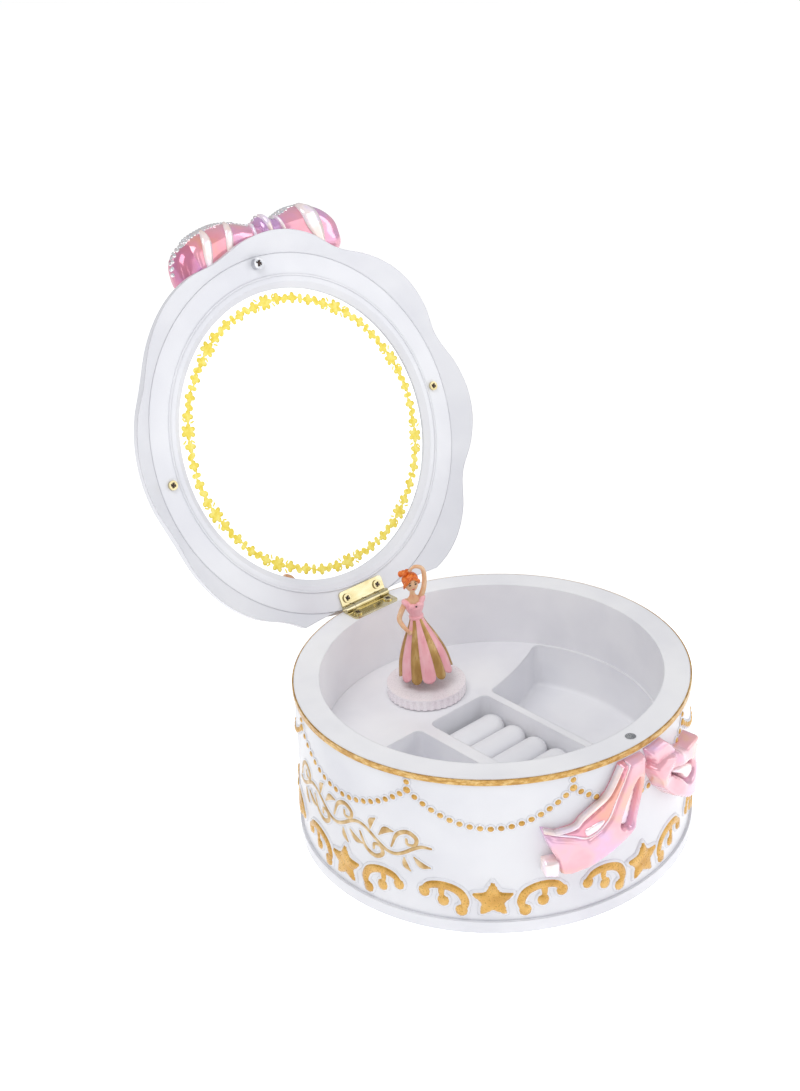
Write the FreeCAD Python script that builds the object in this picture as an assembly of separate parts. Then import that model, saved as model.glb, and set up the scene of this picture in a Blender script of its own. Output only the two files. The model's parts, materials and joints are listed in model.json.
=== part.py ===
import FreeCAD, Part
import math
import os

# Ballerina jewellery box: round drum, mirrored lid on a butt hinge, and a wind-up dancer on a turntable.
# Frame: +Z up, origin at the centre of the face that rests on the table, hinge at +Y, front at -Y.
# The lid and its fittings are modelled closed and then swung open about the hinge pin.
# All sizes are millimetres.

V = FreeCAD.Vector
UP = V(0, 0, 1)

# ---- drum ----
RIM_R = 75.0            # outer radius at the top of the drum
DRUM_H = 64.8           # height of the rim above the table
WALL = 2.2              # moulded wall thickness
TAPER = 1.0             # how much wider the wall is at its foot than at the rim
FOOT_R = 77.0           # radius of the foot ring
FOOT_H = 4.9
RIM_WIDTH = 9.7         # flat top face between the opening and the outer edge
FIT = 0.2               # gap between mouldings that slip together
BAND_T = 0.6            # gold band round the rim
BAND_H = 2.2

# ---- inside the drum ----
DECK_Z = 37.8           # shelf that carries the turntable, level with the tops of the partitions
FLOOR_Z = 18.4          # floor of the compartments
DECK_EDGE_Y = 19.0      # front edge of the deck on the left
DECK_EDGE_TURN_X = 17.0  # the edge bends back from here to the right wall
DECK_EDGE_WALL_X = 56.8
DECK_EDGE_WALL_Y = 32.0
LEFT_PARTITION = (-21.3, -15.8)
RIGHT_PARTITION = (14.3, 17.6)
POCKET_CORNER_R = 3.0
POCKET_FLOOR_R = 2.0
ROLL_COUNT = 6          # ring rolls
ROLL_PITCH = 11.7
ROLL_R = 5.3
ROLL_BACK_GAP = 3.7     # from the deck edge to the first roll
ROLL_DROP = 4.0         # tops of the rolls below the deck
ROLL_BASE_T = 3.0

# ---- turntable, movement and key, all on one vertical axis ----
AXIS_Y = 37.5
TABLE_R = 15.8
TABLE_H = 4.5
TABLE_GAP = 0.5         # between the turntable and the deck
TABLE_FLUTES = 36
SHAFT_R = 2.0
RUN_FIT = 0.05          # radial clearance of shafts in their bearings
BUSH_R = 4.0
BUSH_FLANGE_T = 0.25
WELL_R = 15.5           # recess under the box for the winding key
WELL_H = 11.8
PAN_T = 2.0
FLOOR_RECESS = 1.2      # bottom plate above the table
BED_T = 2.5
BARREL_R = 11.0
BARREL_H = 7.2
BARREL_WALL = 0.8
BARREL_GAP = 0.5
ARBOR_R = 1.8
KEY_SPAN = 24.0
KEY_T = 1.8
KEY_H = 8.0
CROWN_TEETH = 24        # teeth on the top edge of the barrel
CROWN_R = 10.1
CROWN_FACE = 1.8
PINION_TEETH = 8
TOOTH_UP = 0.55         # tooth height outside the pitch line
TOOTH_DOWN = 0.8        # and inside it
TOOTH_SHARE = 0.30      # tooth thickness as a share of the pitch
CYLINDER_R = 5.0
CYLINDER_L = 18.0
CYLINDER_SHAFT_R = 0.9
PIN_ROWS = 9
PINS_PER_ROW = 4
WHEEL_TEETH = 24        # last wheel on the cylinder shaft, drives the air brake
FAN_TEETH = 8
FAN_CENTRES = 8.0       # between the cylinder shaft and the air brake
FAN_R = 2.3
FAN_TURN = 30.0         # direction of the air brake from the cylinder, above level
COMB_TEETH = 18
COMB_T = 1.0

# ---- lid, closed ----
PIN_Y = 72.2            # hinge pin
PIN_RISE = 1.5          # pin above the rim
LID_OPEN = 112.0        # degrees
LID_GAP = 3.0           # between the rim and the lid's flat ring when closed
MIRROR_SEEN_R = 59.0
MIRROR_R = 60.6
MIRROR_T = 2.0
MIRROR_DEPTH = 2.1      # mirror face behind the flat ring
RING_IN_R = 61.5
RING_OUT_R = 73.0
FRAME_H = 4.2
FRAME_BACK_GAP = 0.4     # flat ring cut short of the pin line, to clear the rim when open
LOBES = 8
LOBE_R = 81.5
NOTCH_R = 77.0
LOBE_TURN = -8.0        # degrees from symmetry about the hinge line
LIP_SLOPE = 0.65        # fall of the lip per millimetre outwards
LIP_T = 2.0
DOME_H = 2.5
LIP_BACK_GAP = 0.7      # lip cut short of the pin line, to clear the drum when opening
MAGNET_R = 2.0
MAGNET_POS_R = 70.1
LID_SCREW_POS_R = 67.4
BOW_X = 7.0             # middle of the lid bow
BOW_HALF = 41.0         # half its width
BOW_FRONT = 91.0        # reach in front of the drum axis
BOW_DEPTH = 30.0
BOW_H = 17.0
BOW_EDGE_R = 5.0

# ---- hinge ----
HINGE_L = 22.6
LEAF_T = 0.7
LEAF_REACH = 7.4
KNUCKLE_R = 1.45
PIN_R = 0.72
PIN_FIT = 0.03
OUTER_KNUCKLE = 4.7
KNUCKLE_GAP = 0.12
HINGE_SCREW_X = 8.0
HINGE_SCREW_REACH = 4.2
HINGE_HEAD_R = 1.9
HINGE_HEAD_H = 0.6

# ---- reliefs on the drum wall ----
REPEATS = 8
STAR_Z = 14.5
STAR_R = 7.5
STAR_T = 1.6
SCROLL_T = 1.2
SCROLL_W = 3.0
SHOE_T = 6.5
BOW_T = 7.5

# ---- dancer ----
LEAN = 6.3              # degrees to the dancer's right, on the bent spring
FACING = -115.0         # direction that the dancer faces, degrees from +X
HEM_RISE = 5.7          # hem above the turntable
HEM_R = 11.2
SKIRT_H = 24.5
WAIST_R = 2.6
SKIRT_T = 0.8
SPRING_R = 1.6
SPRING_WIRE = 0.3
SPRING_TURNS = 9
PLUG_H = 6.0

# ---- worked out from the sizes above ----
INNER_R = RIM_R - RIM_WIDTH
LINER_R = INNER_R + WALL
PIN_Z = DRUM_H + PIN_RISE
RING_Z = DRUM_H + LID_GAP
MIRROR_Z = RING_Z + MIRROR_DEPTH
FRAME_TOP = RING_Z + FRAME_H
SHELL_TOP = DRUM_H - WALL
TABLE_Z = DECK_Z + TABLE_GAP
TABLE_TOP = TABLE_Z + TABLE_H
BED_Z = WELL_H + PAN_T
BARREL_Z = BED_Z + BED_T + BARREL_GAP
BARREL_TOP = BARREL_Z + BARREL_H
PITCH_Z = BARREL_TOP + TOOTH_DOWN
PINION_R = CROWN_R * PINION_TEETH / CROWN_TEETH
CYLINDER_Z = PITCH_Z + PINION_R
BRACKET_X = -(BARREL_R + 1.0)
CYLINDER_X = BRACKET_X - 1.5
FAR_BRACKET_X = CYLINDER_X - CYLINDER_L - 0.5
BRACKET_T = 1.0
FAN_Y = AXIS_Y + FAN_CENTRES * math.cos(math.radians(FAN_TURN))
FAN_Z = CYLINDER_Z + FAN_CENTRES * math.sin(math.radians(FAN_TURN))
ATTACH_Z = TABLE_TOP + HEM_RISE


def cyl(r, z0, z1, x=0.0, y=0.0):
    return Part.makeCylinder(r, z1 - z0, V(x, y, z0))


def ring(outer, inner, z0, z1, x=0.0, y=0.0):
    return cyl(outer, z0, z1, x, y).cut(cyl(inner, z0, z1, x, y))


def box(x0, x1, y0, y1, z0, z1):
    return Part.makeBox(x1 - x0, y1 - y0, z1 - z0, V(x0, y0, z0))


def rod_x(r, x0, x1, y, z):
    return Part.makeCylinder(r, x1 - x0, V(x0, y, z), V(1, 0, 0))


def revolve(points):
    wire = Part.makePolygon([V(r, 0, z) for r, z in points + points[:1]])
    return Part.Face(wire).revolve(V(0, 0, 0), UP, 360)


def prism(points, z0, z1):
    wire = Part.makePolygon([V(x, y, z0) for x, y in points + points[:1]])
    return Part.Face(wire).extrude(V(0, 0, z1 - z0))


def join(shapes):
    return shapes[0].multiFuse(shapes[1:]).removeSplitter() if len(shapes) > 1 else shapes[0]


def turned(shape, degrees, centre=None, axis=UP):
    copy = shape.copy()
    copy.rotate(centre or V(0, 0, 0), axis, degrees)
    return copy


def open_lid(shape):
    return turned(shape, -LID_OPEN, V(0, PIN_Y, PIN_Z), V(1, 0, 0))


def around(shape, count):
    return [turned(shape, 360.0 * k / count) for k in range(count)]


def polar(r, degrees):
    return r * math.cos(math.radians(degrees)), r * math.sin(math.radians(degrees))


def screw(x, y, z, head_r, head_h, shank_r, length, down=True):
    """Pan-head screw: z is the face that the head sits on, and the shank goes away from the head."""
    side = 1 if down else -1
    head = Part.makeCylinder(head_r, head_h, V(x, y, z), V(0, 0, side))
    shank = Part.makeCylinder(shank_r, length, V(x, y, z), V(0, 0, -side))
    slot_w = head_r * 0.28
    slot_l = head_r * 1.1
    floor = z + side * head_h * 0.45
    top = z + side * head_h * 1.5
    lo, hi = min(floor, top), max(floor, top)
    cross = box(x - slot_l / 2, x + slot_l / 2, y - slot_w / 2, y + slot_w / 2, lo, hi)
    cross = cross.fuse(box(x - slot_w / 2, x + slot_w / 2, y - slot_l / 2, y + slot_l / 2, lo, hi))
    return head.cut(cross).fuse(shank)


def save(name, *shapes):
    shape = shapes[0] if len(shapes) == 1 else Part.makeCompound(list(shapes))
    shape.exportStep("parts/" + name + ".step")


# ---------------------------------------------------------------- drum

def wall_radius(z):
    return RIM_R + TAPER * (SHELL_TOP - z) / (SHELL_TOP - FOOT_H)


def base_screw_places():
    return [polar(RIM_R - 5.2, 45 + 90 * k) for k in range(4)]


def outer_shell():
    top, foot = wall_radius(SHELL_TOP), wall_radius(FOOT_H)
    shell = revolve([(top - WALL, SHELL_TOP), (top, SHELL_TOP), (foot, FOOT_H), (foot - WALL, FOOT_H)])
    inside = revolve([(0, FOOT_H), (foot - WALL / 2, FOOT_H), (top - WALL / 2, SHELL_TOP), (0, SHELL_TOP)])
    bosses = [cyl(3.5, FOOT_H, 14.0, x, y).common(inside) for x, y in base_screw_places()]
    shell = join([shell] + bosses)
    for x, y in base_screw_places():
        shell = shell.cut(cyl(1.3, FOOT_H, 12.5, x, y))
    return shell


def deck_edge(setback=0.0):
    """Outline of the space in front of the deck, reaching past the wall on the other sides."""
    far = RIM_R * 1.2
    bend = V(DECK_EDGE_TURN_X, DECK_EDGE_Y + setback, 0)
    end = V(DECK_EDGE_WALL_X, DECK_EDGE_WALL_Y + setback, 0)
    mid = V((bend.x + end.x) / 2, bend.y + 0.36 * (end.y - bend.y), 0)
    edges = [
        Part.makeLine(V(-far, bend.y, 0), bend),
        Part.Arc(bend, mid, end).toShape(),
        Part.makeLine(end, V(far, end.y, 0)),
        Part.makeLine(V(far, end.y, 0), V(far, -far, 0)),
        Part.makeLine(V(far, -far, 0), V(-far, -far, 0)),
        Part.makeLine(V(-far, -far, 0), V(-far, bend.y, 0)),
    ]
    return Part.Face(Part.Wire(edges))


def front_space(z0, z1, setback=0.0):
    face = deck_edge(setback)
    face.translate(V(0, 0, z0))
    return face.extrude(V(0, 0, z1 - z0))


def pocket(x0, x1):
    far = RIM_R * 1.2
    wall = turned(cyl(INNER_R - 0.8, FLOOR_Z, DECK_Z), 90)
    space = front_space(FLOOR_Z, DECK_Z).common(wall)
    space = space.common(box(x0, x1, -far, far, FLOOR_Z, DECK_Z))
    upright = [e for e in space.Edges if e.BoundBox.ZLength > 1 and e.BoundBox.DiagonalLength < DECK_Z]
    space = space.makeFillet(POCKET_CORNER_R, upright)
    floor = [e for e in space.Edges if e.BoundBox.ZMax < FLOOR_Z + 0.01]
    return space.makeFillet(POCKET_FLOOR_R, floor)


def jewel_tray():
    deck = cyl(LINER_R, DECK_Z - WALL, DRUM_H)
    rim = cyl(RIM_R, SHELL_TOP, DRUM_H)
    locating = ring(RIM_R - WALL - FIT, RIM_R - 2 * WALL, SHELL_TOP - 3.0, SHELL_TOP)
    front = front_space(FLOOR_Z - WALL, DECK_Z, WALL).common(cyl(LINER_R, FLOOR_Z - WALL, DECK_Z))
    posts = [cyl(2.4, SHELL_TOP - 6.0, SHELL_TOP, x, y) for x, y in hinge_screw_places()]
    tray = join([deck, rim, locating, front] + posts)
    tray = tray.cut(cyl(INNER_R, DECK_Z, DRUM_H))
    far = RIM_R * 1.2
    for x0, x1 in ((-far, LEFT_PARTITION[0]), (LEFT_PARTITION[1], RIGHT_PARTITION[0]), (RIGHT_PARTITION[1], far)):
        tray = tray.cut(pocket(x0, x1))
    tray = tray.cut(cyl(BUSH_R, DECK_Z - WALL, DECK_Z, 0, AXIS_Y))
    tray = tray.cut(cyl(MAGNET_R, DRUM_H - 1.8, DRUM_H, 0, -MAGNET_POS_R))
    for x, y in hinge_screw_places():
        tray = tray.cut(cyl(1.0, SHELL_TOP - 4.0, DRUM_H, x, y))
    return tray


def ring_rolls():
    left = LEFT_PARTITION[1] + FIT
    right = RIGHT_PARTITION[0] - FIT
    floor = FLOOR_Z + POCKET_FLOOR_R
    inset = POCKET_FLOOR_R + FIT
    centre_z = DECK_Z - ROLL_DROP - ROLL_R
    first = DECK_EDGE_Y - ROLL_BACK_GAP - ROLL_R
    pieces = []
    for k in range(ROLL_COUNT):
        y = first - k * ROLL_PITCH
        pieces.append(rod_x(ROLL_R, left, right - ROLL_R, y, centre_z))
        pieces.append(Part.makeSphere(ROLL_R, V(right - ROLL_R, y, centre_z)))
        pieces.append(box(left, right - ROLL_R, y - ROLL_R, y + ROLL_R, floor, centre_z))
    last = first - (ROLL_COUNT - 1) * ROLL_PITCH
    pieces.append(box(left, right, last - ROLL_R, first + ROLL_R, floor, floor + ROLL_BASE_T))
    pieces.append(box(left + inset, right - inset, last - ROLL_R, first + ROLL_R - inset, FLOOR_Z, floor))
    return join(pieces)


def gold_rim_band():
    return ring(RIM_R + BAND_T, RIM_R, DRUM_H - 0.2 - BAND_H, DRUM_H - 0.2).cut(outer_taper(DRUM_H))


def outer_taper(top):
    foot = wall_radius(0)
    return revolve([(0, 0), (foot, 0), (wall_radius(top), top), (0, top)])


def base_pan():
    foot_ring = ring(FOOT_R, FOOT_R - 4.0, 0, FOOT_H)
    plate = cyl(FOOT_R - 1.0, FLOOR_RECESS, FLOOR_RECESS + PAN_T)
    inner = wall_radius(FOOT_H) - WALL - FIT
    locating = ring(inner, inner - 1.6, FLOOR_RECESS + PAN_T, FOOT_H + 2.5)
    well = cyl(WELL_R + PAN_T, FLOOR_RECESS, WELL_H + PAN_T, 0, AXIS_Y)
    pan = join([foot_ring, plate, locating, well])
    pan = pan.cut(cyl(WELL_R, 0, WELL_H, 0, AXIS_Y))
    pan = pan.cut(cyl(ARBOR_R + 0.4, WELL_H, BED_Z, 0, AXIS_Y))
    for x, y in movement_screw_places():
        pan = pan.cut(cyl(1.1, WELL_H, BED_Z, x, y))
    for x, y in base_screw_places():
        pan = pan.fuse(cyl(4.4, FLOOR_RECESS, FOOT_H, x, y))
        pan = pan.cut(cyl(4.2, FOOT_H, FOOT_H + 3.0, x, y))
        pan = pan.cut(cyl(1.4, 0, FOOT_H, x, y))
        pan = pan.cut(cyl(2.7, 0, FLOOR_RECESS + 0.8, x, y))
    return pan.removeSplitter()


def base_screws():
    return [screw(x, y, FLOOR_RECESS + 0.8, 2.4, 1.2, 1.2, 9.0, down=False) for x, y in base_screw_places()]


# ---------------------------------------------------------------- reliefs on the wall

def wall_skin(t, z0=FOOT_H, z1=None):
    """Ring of thickness t that lies on the tapered wall."""
    z1 = z1 or DRUM_H - BAND_H - 0.4
    low, high = wall_radius(z0), wall_radius(z1)
    return revolve([(low, z0), (low + t, z0), (high + t, z1), (high, z1)])


def on_front(outline, t, side=0.0):
    """Outline in (along the wall, height), raised by t, on the wall's front line; side shifts the outline."""
    points = [V(s - side, -(RIM_R + t + 3.0), z) for s, z in outline]
    block = Part.Face(Part.makePolygon(points + points[:1])).extrude(V(0, 12.0 + t, 0))
    raised = block.common(wall_skin(t))
    return turned(raised, math.degrees(side / RIM_R)) if side else raised


def star_outline():
    points = []
    for k in range(10):
        r = STAR_R if k % 2 == 0 else STAR_R * 0.52
        dx, dz = polar(r, 90 + 36 * k)
        points.append((dx, STAR_Z + dz))
    return points


def star_reliefs():
    return around(on_front(star_outline(), STAR_T), REPEATS)


def stroke(points, width):
    """Rounded stroke through points on a plane in front of the wall."""
    depth = V(0, 14.0, 0)
    y = -(RIM_R + 6.0)
    pieces = []
    for s, z in points:
        pieces.append(Part.makeCylinder(width / 2, 14.0, V(s, y, z), V(0, 1, 0)))
    for (s0, z0), (s1, z1) in zip(points, points[1:]):
        length = math.hypot(s1 - s0, z1 - z0)
        ds, dz = -(z1 - z0) / length * width / 2, (s1 - s0) / length * width / 2
        quad = [V(s0 + ds, y, z0 + dz), V(s1 + ds, y, z1 + dz), V(s1 - ds, y, z1 - dz), V(s0 - ds, y, z0 - dz)]
        pieces.append(Part.Face(Part.makePolygon(quad + quad[:1])).extrude(depth))
    return pieces


def scroll():
    """Three-ball scroll to the right of the front star."""
    middle = 18.0
    arch = [(9.7, 12.1), (11.0, 16.4), (14.0, 18.7), (18.6, 19.8), (23.3, 19.0), (25.4, 17.2)]
    shift = [(s - middle, z) for s, z in arch]
    pieces = stroke(shift, SCROLL_W) + stroke([(18.3 - middle, 18.5), (18.0 - middle, 12.8)], 1.8)
    for s, z, r in ((11.1, 9.2, 2.2), (18.0, 12.8, 2.1), (24.6, 15.9, 2.2)):
        pieces.append(Part.makeCylinder(r, 14.0, V(s - middle, -(RIM_R + 6.0), z), V(0, 1, 0)))
    raised = join(pieces).common(wall_skin(SCROLL_T))
    return turned(raised, math.degrees(middle / RIM_R))


def scroll_reliefs():
    right = scroll()
    left = right.mirror(V(0, 0, 0), V(1, 0, 0))
    return around(right, REPEATS) + around(left, REPEATS)


def shoe_relief():
    """High-heel shoe, toe to the left, with the opening between arch and heel."""
    sole = [(-42.3, 24.2), (-36.4, 23.8), (-25.1, 24.7), (-15.9, 28.0), (-7.3, 31.3)]
    heel = [(-5.9, 37.9), (-2.0, 49.2), (-0.4, 57.5), (-1.5, 61.6), (-11.2, 61.6)]
    front = [(-17.2, 51.8), (-28.4, 44.5), (-35.7, 42.6), (-41.0, 43.9), (-39.7, 35.3), (-37.9, 31.7), (-42.3, 31.2)]
    side = -21.0
    shoe = on_front(sole + heel + front, SHOE_T, side)
    arch = on_front([(-12.2, 37.0), (-9.5, 35.2), (-8.0, 36.6), (-3.6, 48.8), (-4.4, 50.2)], SHOE_T + 1.0, side)
    return shoe.cut(arch)


def drum_bow_relief():
    """Ribbon bow to the right of the front line: two tails up to the band and a loop."""
    loop = [(1.2, 46.0), (5.5, 38.5), (14.0, 31.5), (24.0, 29.0), (32.5, 33.0), (33.5, 45.0), (27.0, 52.5)]
    tails = [(30.5, 61.6), (18.5, 61.6), (15.8, 54.0), (12.5, 61.6), (1.0, 61.6), (1.6, 52.0)]
    return on_front(loop + tails, BOW_T, 17.0)


# ---------------------------------------------------------------- lid, closed

def lid_outline(z0, z1):
    """Wavy edge of the lid as a closed curve, extruded."""
    steps = LOBES * 8
    points = []
    for k in range(steps):
        turn = 360.0 * k / steps
        phase = math.radians(LOBES * (turn + 90 + LOBE_TURN))
        swell = (1 + math.cos(phase)) / 2
        r = NOTCH_R + (LOBE_R - NOTCH_R) * math.sqrt(swell)
        x, y = polar(r, turn)
        points.append(V(x, y, z0))
    curve = Part.BSplineCurve()
    curve.interpolate(points, PeriodicFlag=True)
    return Part.Face(Part.Wire(curve.toShape())).extrude(V(0, 0, z1 - z0))


def lip_inner_z(r):
    return RING_Z - LIP_SLOPE * (r - RING_OUT_R)


def lid_shell():
    edge = LOBE_R + 2.0
    top = FRAME_TOP + WALL
    section = [
        (0, FRAME_TOP), (RING_OUT_R, FRAME_TOP), (RING_OUT_R, RING_Z), (edge, lip_inner_z(edge)),
        (edge, lip_inner_z(edge) + LIP_T), (NOTCH_R + 1.0, lip_inner_z(NOTCH_R) + LIP_T + 1.0),
        (RING_OUT_R + 0.5, top - 1.0), (RING_OUT_R - 5.0, top), (0, top + DOME_H),
    ]
    shell = revolve(section).common(lid_outline(RING_Z - 10.0, top + DOME_H + 1.0))
    shell = shell.cut(box(-LOBE_R, LOBE_R, PIN_Y - LIP_BACK_GAP, LOBE_R + 5.0, RING_Z - 10.0, FRAME_TOP))
    shell = shell.cut(box(-LOBE_R, LOBE_R, PIN_Y + 4.6, LOBE_R + 5.0, RING_Z - 10.0, top + DOME_H))
    for x, y in lid_screw_places() + [(0, -MAGNET_POS_R)]:
        shell = shell.cut(cyl(1.3, FRAME_TOP, FRAME_TOP + 1.2, x, y))
    return shell


def lid_screw_places():
    return [(LID_SCREW_POS_R, 0.0), (-LID_SCREW_POS_R, 0.0)]


def lid_frame():
    section = [
        (RING_IN_R, RING_Z), (RING_OUT_R - FIT, RING_Z), (RING_OUT_R - FIT, FRAME_TOP),
        (MIRROR_R + FIT, FRAME_TOP), (MIRROR_R + FIT, MIRROR_Z), (MIRROR_SEEN_R, MIRROR_Z),
        (MIRROR_SEEN_R, MIRROR_Z - 0.5),
    ]
    frame = revolve(section)
    half = RING_OUT_R / 2
    frame = frame.cut(box(-half, half, PIN_Y - FRAME_BACK_GAP, RING_OUT_R, RING_Z, FRAME_TOP))
    for x, y in lid_screw_places() + [(0, -MAGNET_POS_R)]:
        frame = frame.cut(cyl(1.3, RING_Z, FRAME_TOP, x, y))
    for x, y in hinge_screw_places():
        frame = frame.cut(cyl(1.0, RING_Z, FRAME_TOP, x, y))
    return frame


def mirror():
    return cyl(MIRROR_R, MIRROR_Z, MIRROR_Z + MIRROR_T)


def lid_screws():
    return [screw(x, y, RING_Z, 1.9, 0.9, 1.2, FRAME_H + 1.0, down=False) for x, y in lid_screw_places()]


def catch_screw():
    return screw(0, -MAGNET_POS_R, RING_Z, 2.2, LID_GAP - 0.4, 1.2, FRAME_H + 1.0, down=False)


def catch_magnet():
    return cyl(MAGNET_R, DRUM_H - 1.8, DRUM_H, 0, -MAGNET_POS_R)


def bow_outline(z):
    """Plan of the bow: two round loops, narrow at the knot."""
    right = [(0.13, 0.30), (0.34, 0.12), (0.62, 0.0), (0.88, 0.13), (1.0, 0.45), (0.92, 0.80), (0.68, 1.0),
             (0.36, 0.90), (0.14, 0.72)]
    half = right + [(-along, back) for along, back in reversed(right)]
    points = [V(BOW_X + along * BOW_HALF, back * BOW_DEPTH - BOW_FRONT, z) for along, back in half]
    curve = Part.BSplineCurve()
    curve.interpolate(points, PeriodicFlag=True)
    return Part.Face(Part.Wire(curve.toShape()))


def lid_bow():
    """Moulded bow on the outer face at the front: two loops and a knot, hanging a little over the edge."""
    low = lip_inner_z(NOTCH_R) + LIP_T
    bow = bow_outline(low).extrude(V(0, 0, BOW_H))
    rims = [e for e in bow.Edges if e.BoundBox.ZLength < 0.1]
    bow = bow.makeFillet(BOW_EDGE_R, [e for e in rims if e.BoundBox.ZMin > low + 1])
    bow = bow.makeFillet(BOW_EDGE_R / 2, [e for e in bow.Edges if e.BoundBox.ZMax < low + 0.1])
    dome_top = FRAME_TOP + WALL
    under = revolve([
        (0, RING_Z - 12.0), (LOBE_R, RING_Z - 12.0), (LOBE_R, lip_inner_z(LOBE_R) + LIP_T),
        (NOTCH_R + 1.0, lip_inner_z(NOTCH_R) + LIP_T + 1.0), (RING_OUT_R + 0.5, dome_top - 1.0),
        (RING_OUT_R - 5.0, dome_top), (0, dome_top + DOME_H),
    ])
    return bow.cut(under)


# ---------------------------------------------------------------- hinge

def hinge_screw_places():
    return [(side * HINGE_SCREW_X, PIN_Y - HINGE_SCREW_REACH) for side in (-1, 1)]


def leaf(spans, lower):
    """Hinge leaf lying on the rim, or under the lid's ring, with its knuckles over the given spans in X."""
    z = DRUM_H if lower else RING_Z - LEAF_T
    plate = box(-HINGE_L / 2, HINGE_L / 2, PIN_Y - LEAF_REACH, PIN_Y, z, z + LEAF_T)
    corners = [e for e in plate.Edges if e.BoundBox.ZLength > 0.1 and e.BoundBox.YMax < PIN_Y - 1]
    plate = plate.makeFillet(1.6, corners)
    plate = plate.cut(rod_x(KNUCKLE_R + KNUCKLE_GAP, -HINGE_L, HINGE_L, PIN_Y, PIN_Z))
    pieces = [plate]
    for x0, x1 in spans:
        web_z = DRUM_H if lower else PIN_Z + 0.5
        web = box(x0, x1, PIN_Y - KNUCKLE_R - 0.6, PIN_Y, z, z + LEAF_T)
        pieces.append(rod_x(KNUCKLE_R, x0, x1, PIN_Y, PIN_Z))
        pieces.append(web.cut(rod_x(PIN_R, x0, x1, PIN_Y, PIN_Z)))
    body = join(pieces)
    body = body.cut(rod_x(PIN_R + PIN_FIT, -HINGE_L, HINGE_L, PIN_Y, PIN_Z))
    for x, y in hinge_screw_places():
        body = body.cut(cyl(1.05, z, z + LEAF_T, x, y))
    return body


def middle_span():
    half = HINGE_L / 2 - OUTER_KNUCKLE - KNUCKLE_GAP
    return [(-half, half)]


def outer_spans():
    half = HINGE_L / 2
    return [(-half, -half + OUTER_KNUCKLE), (half - OUTER_KNUCKLE, half)]


def hinge_pin():
    return rod_x(PIN_R, -HINGE_L / 2, HINGE_L / 2, PIN_Y, PIN_Z)


def hinge_screws(lower):
    z = DRUM_H + LEAF_T if lower else RING_Z - LEAF_T
    return [screw(x, y, z, HINGE_HEAD_R, HINGE_HEAD_H, 0.95, 4.2, down=lower) for x, y in hinge_screw_places()]


# ---------------------------------------------------------------- turntable and movement

def turntable_disc():
    disc = cyl(TABLE_R, TABLE_Z, TABLE_TOP, 0, AXIS_Y)
    flute_r = math.pi * TABLE_R / TABLE_FLUTES * 0.55
    flutes = []
    for k in range(TABLE_FLUTES):
        x, y = polar(TABLE_R + flute_r * 0.45, 360.0 * k / TABLE_FLUTES)
        flutes.append(cyl(flute_r, TABLE_Z, TABLE_TOP - 0.8, x, AXIS_Y + y))
    disc = disc.cut(Part.makeCompound(flutes))
    return disc.cut(cyl(SHAFT_R, TABLE_Z, TABLE_TOP - 1.0, 0, AXIS_Y))


def drive_shaft():
    return cyl(SHAFT_R, BARREL_TOP, TABLE_TOP - 1.0, 0, AXIS_Y)


def shaft_bush():
    top = DECK_Z + BUSH_FLANGE_T
    sleeve = join([cyl(BUSH_R, DECK_Z - WALL, DECK_Z, 0, AXIS_Y), cyl(BUSH_R + 1.5, DECK_Z, top, 0, AXIS_Y)])
    return sleeve.cut(cyl(SHAFT_R + RUN_FIT, DECK_Z - WALL, top, 0, AXIS_Y))


def tooth_block(pitch, z_low, z_high):
    """Tooth profile as (width at foot, width at tip) over its height, from its thickness on the pitch line."""
    middle = pitch * TOOTH_SHARE
    foot = middle + 2 * z_low * math.tan(math.radians(20))
    tip = middle - 2 * z_high * math.tan(math.radians(20))
    return foot, max(tip, 0.15)


def spring_barrel():
    hub_y = AXIS_Y
    drum = cyl(BARREL_R, BARREL_Z, BARREL_TOP, 0, hub_y)
    hollow = cyl(BARREL_R - BARREL_WALL, BARREL_Z + BARREL_WALL, BARREL_TOP - BARREL_WALL, 0, hub_y)
    drum = drum.cut(hollow).cut(cyl(ARBOR_R + RUN_FIT, BARREL_Z, BARREL_Z + BARREL_WALL, 0, hub_y))
    pitch = 2 * math.pi * CROWN_R / CROWN_TEETH
    foot, tip = tooth_block(pitch, TOOTH_DOWN, TOOTH_UP)
    low, high = BARREL_TOP, PITCH_Z + TOOTH_UP
    x0 = CROWN_R - CROWN_FACE / 2
    points = [V(x0, -foot / 2, low), V(x0, foot / 2, low), V(x0, tip / 2, high), V(x0, -tip / 2, high)]
    tooth = Part.Face(Part.makePolygon(points + points[:1])).extrude(V(CROWN_FACE, 0, 0))
    teeth = around(tooth, CROWN_TEETH)
    for piece in teeth:
        piece.translate(V(0, hub_y, 0))
    return join([drum] + teeth)


def mainspring():
    """Flat steel spiral inside the barrel."""
    inner, outer = ARBOR_R + 0.9, BARREL_R - BARREL_WALL - 0.5
    turns, thick = 6, 0.3
    steps = turns * 12
    inside, outside = [], []
    for k in range(steps + 1):
        r = inner + (outer - inner) * k / steps
        x, y = polar(r, 30.0 * k)
        inside.append(V(x, AXIS_Y + y, BARREL_Z + BARREL_WALL + 0.4))
        x, y = polar(r + thick, 30.0 * k)
        outside.append(V(x, AXIS_Y + y, BARREL_Z + BARREL_WALL + 0.4))
    near, away = Part.BSplineCurve(), Part.BSplineCurve()
    near.interpolate(inside)
    away.interpolate(outside)
    ends = [Part.makeLine(inside[0], outside[0]), Part.makeLine(inside[-1], outside[-1])]
    wire = Part.Wire(Part.__sortEdges__([near.toShape(), ends[1], away.toShape(), ends[0]]))
    return Part.Face(wire).extrude(V(0, 0, BARREL_H - 2 * BARREL_WALL - 0.8))


def winding_arbor():
    return cyl(ARBOR_R, 3.5, BARREL_TOP - BARREL_WALL - 0.6, 0, AXIS_Y)


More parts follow.
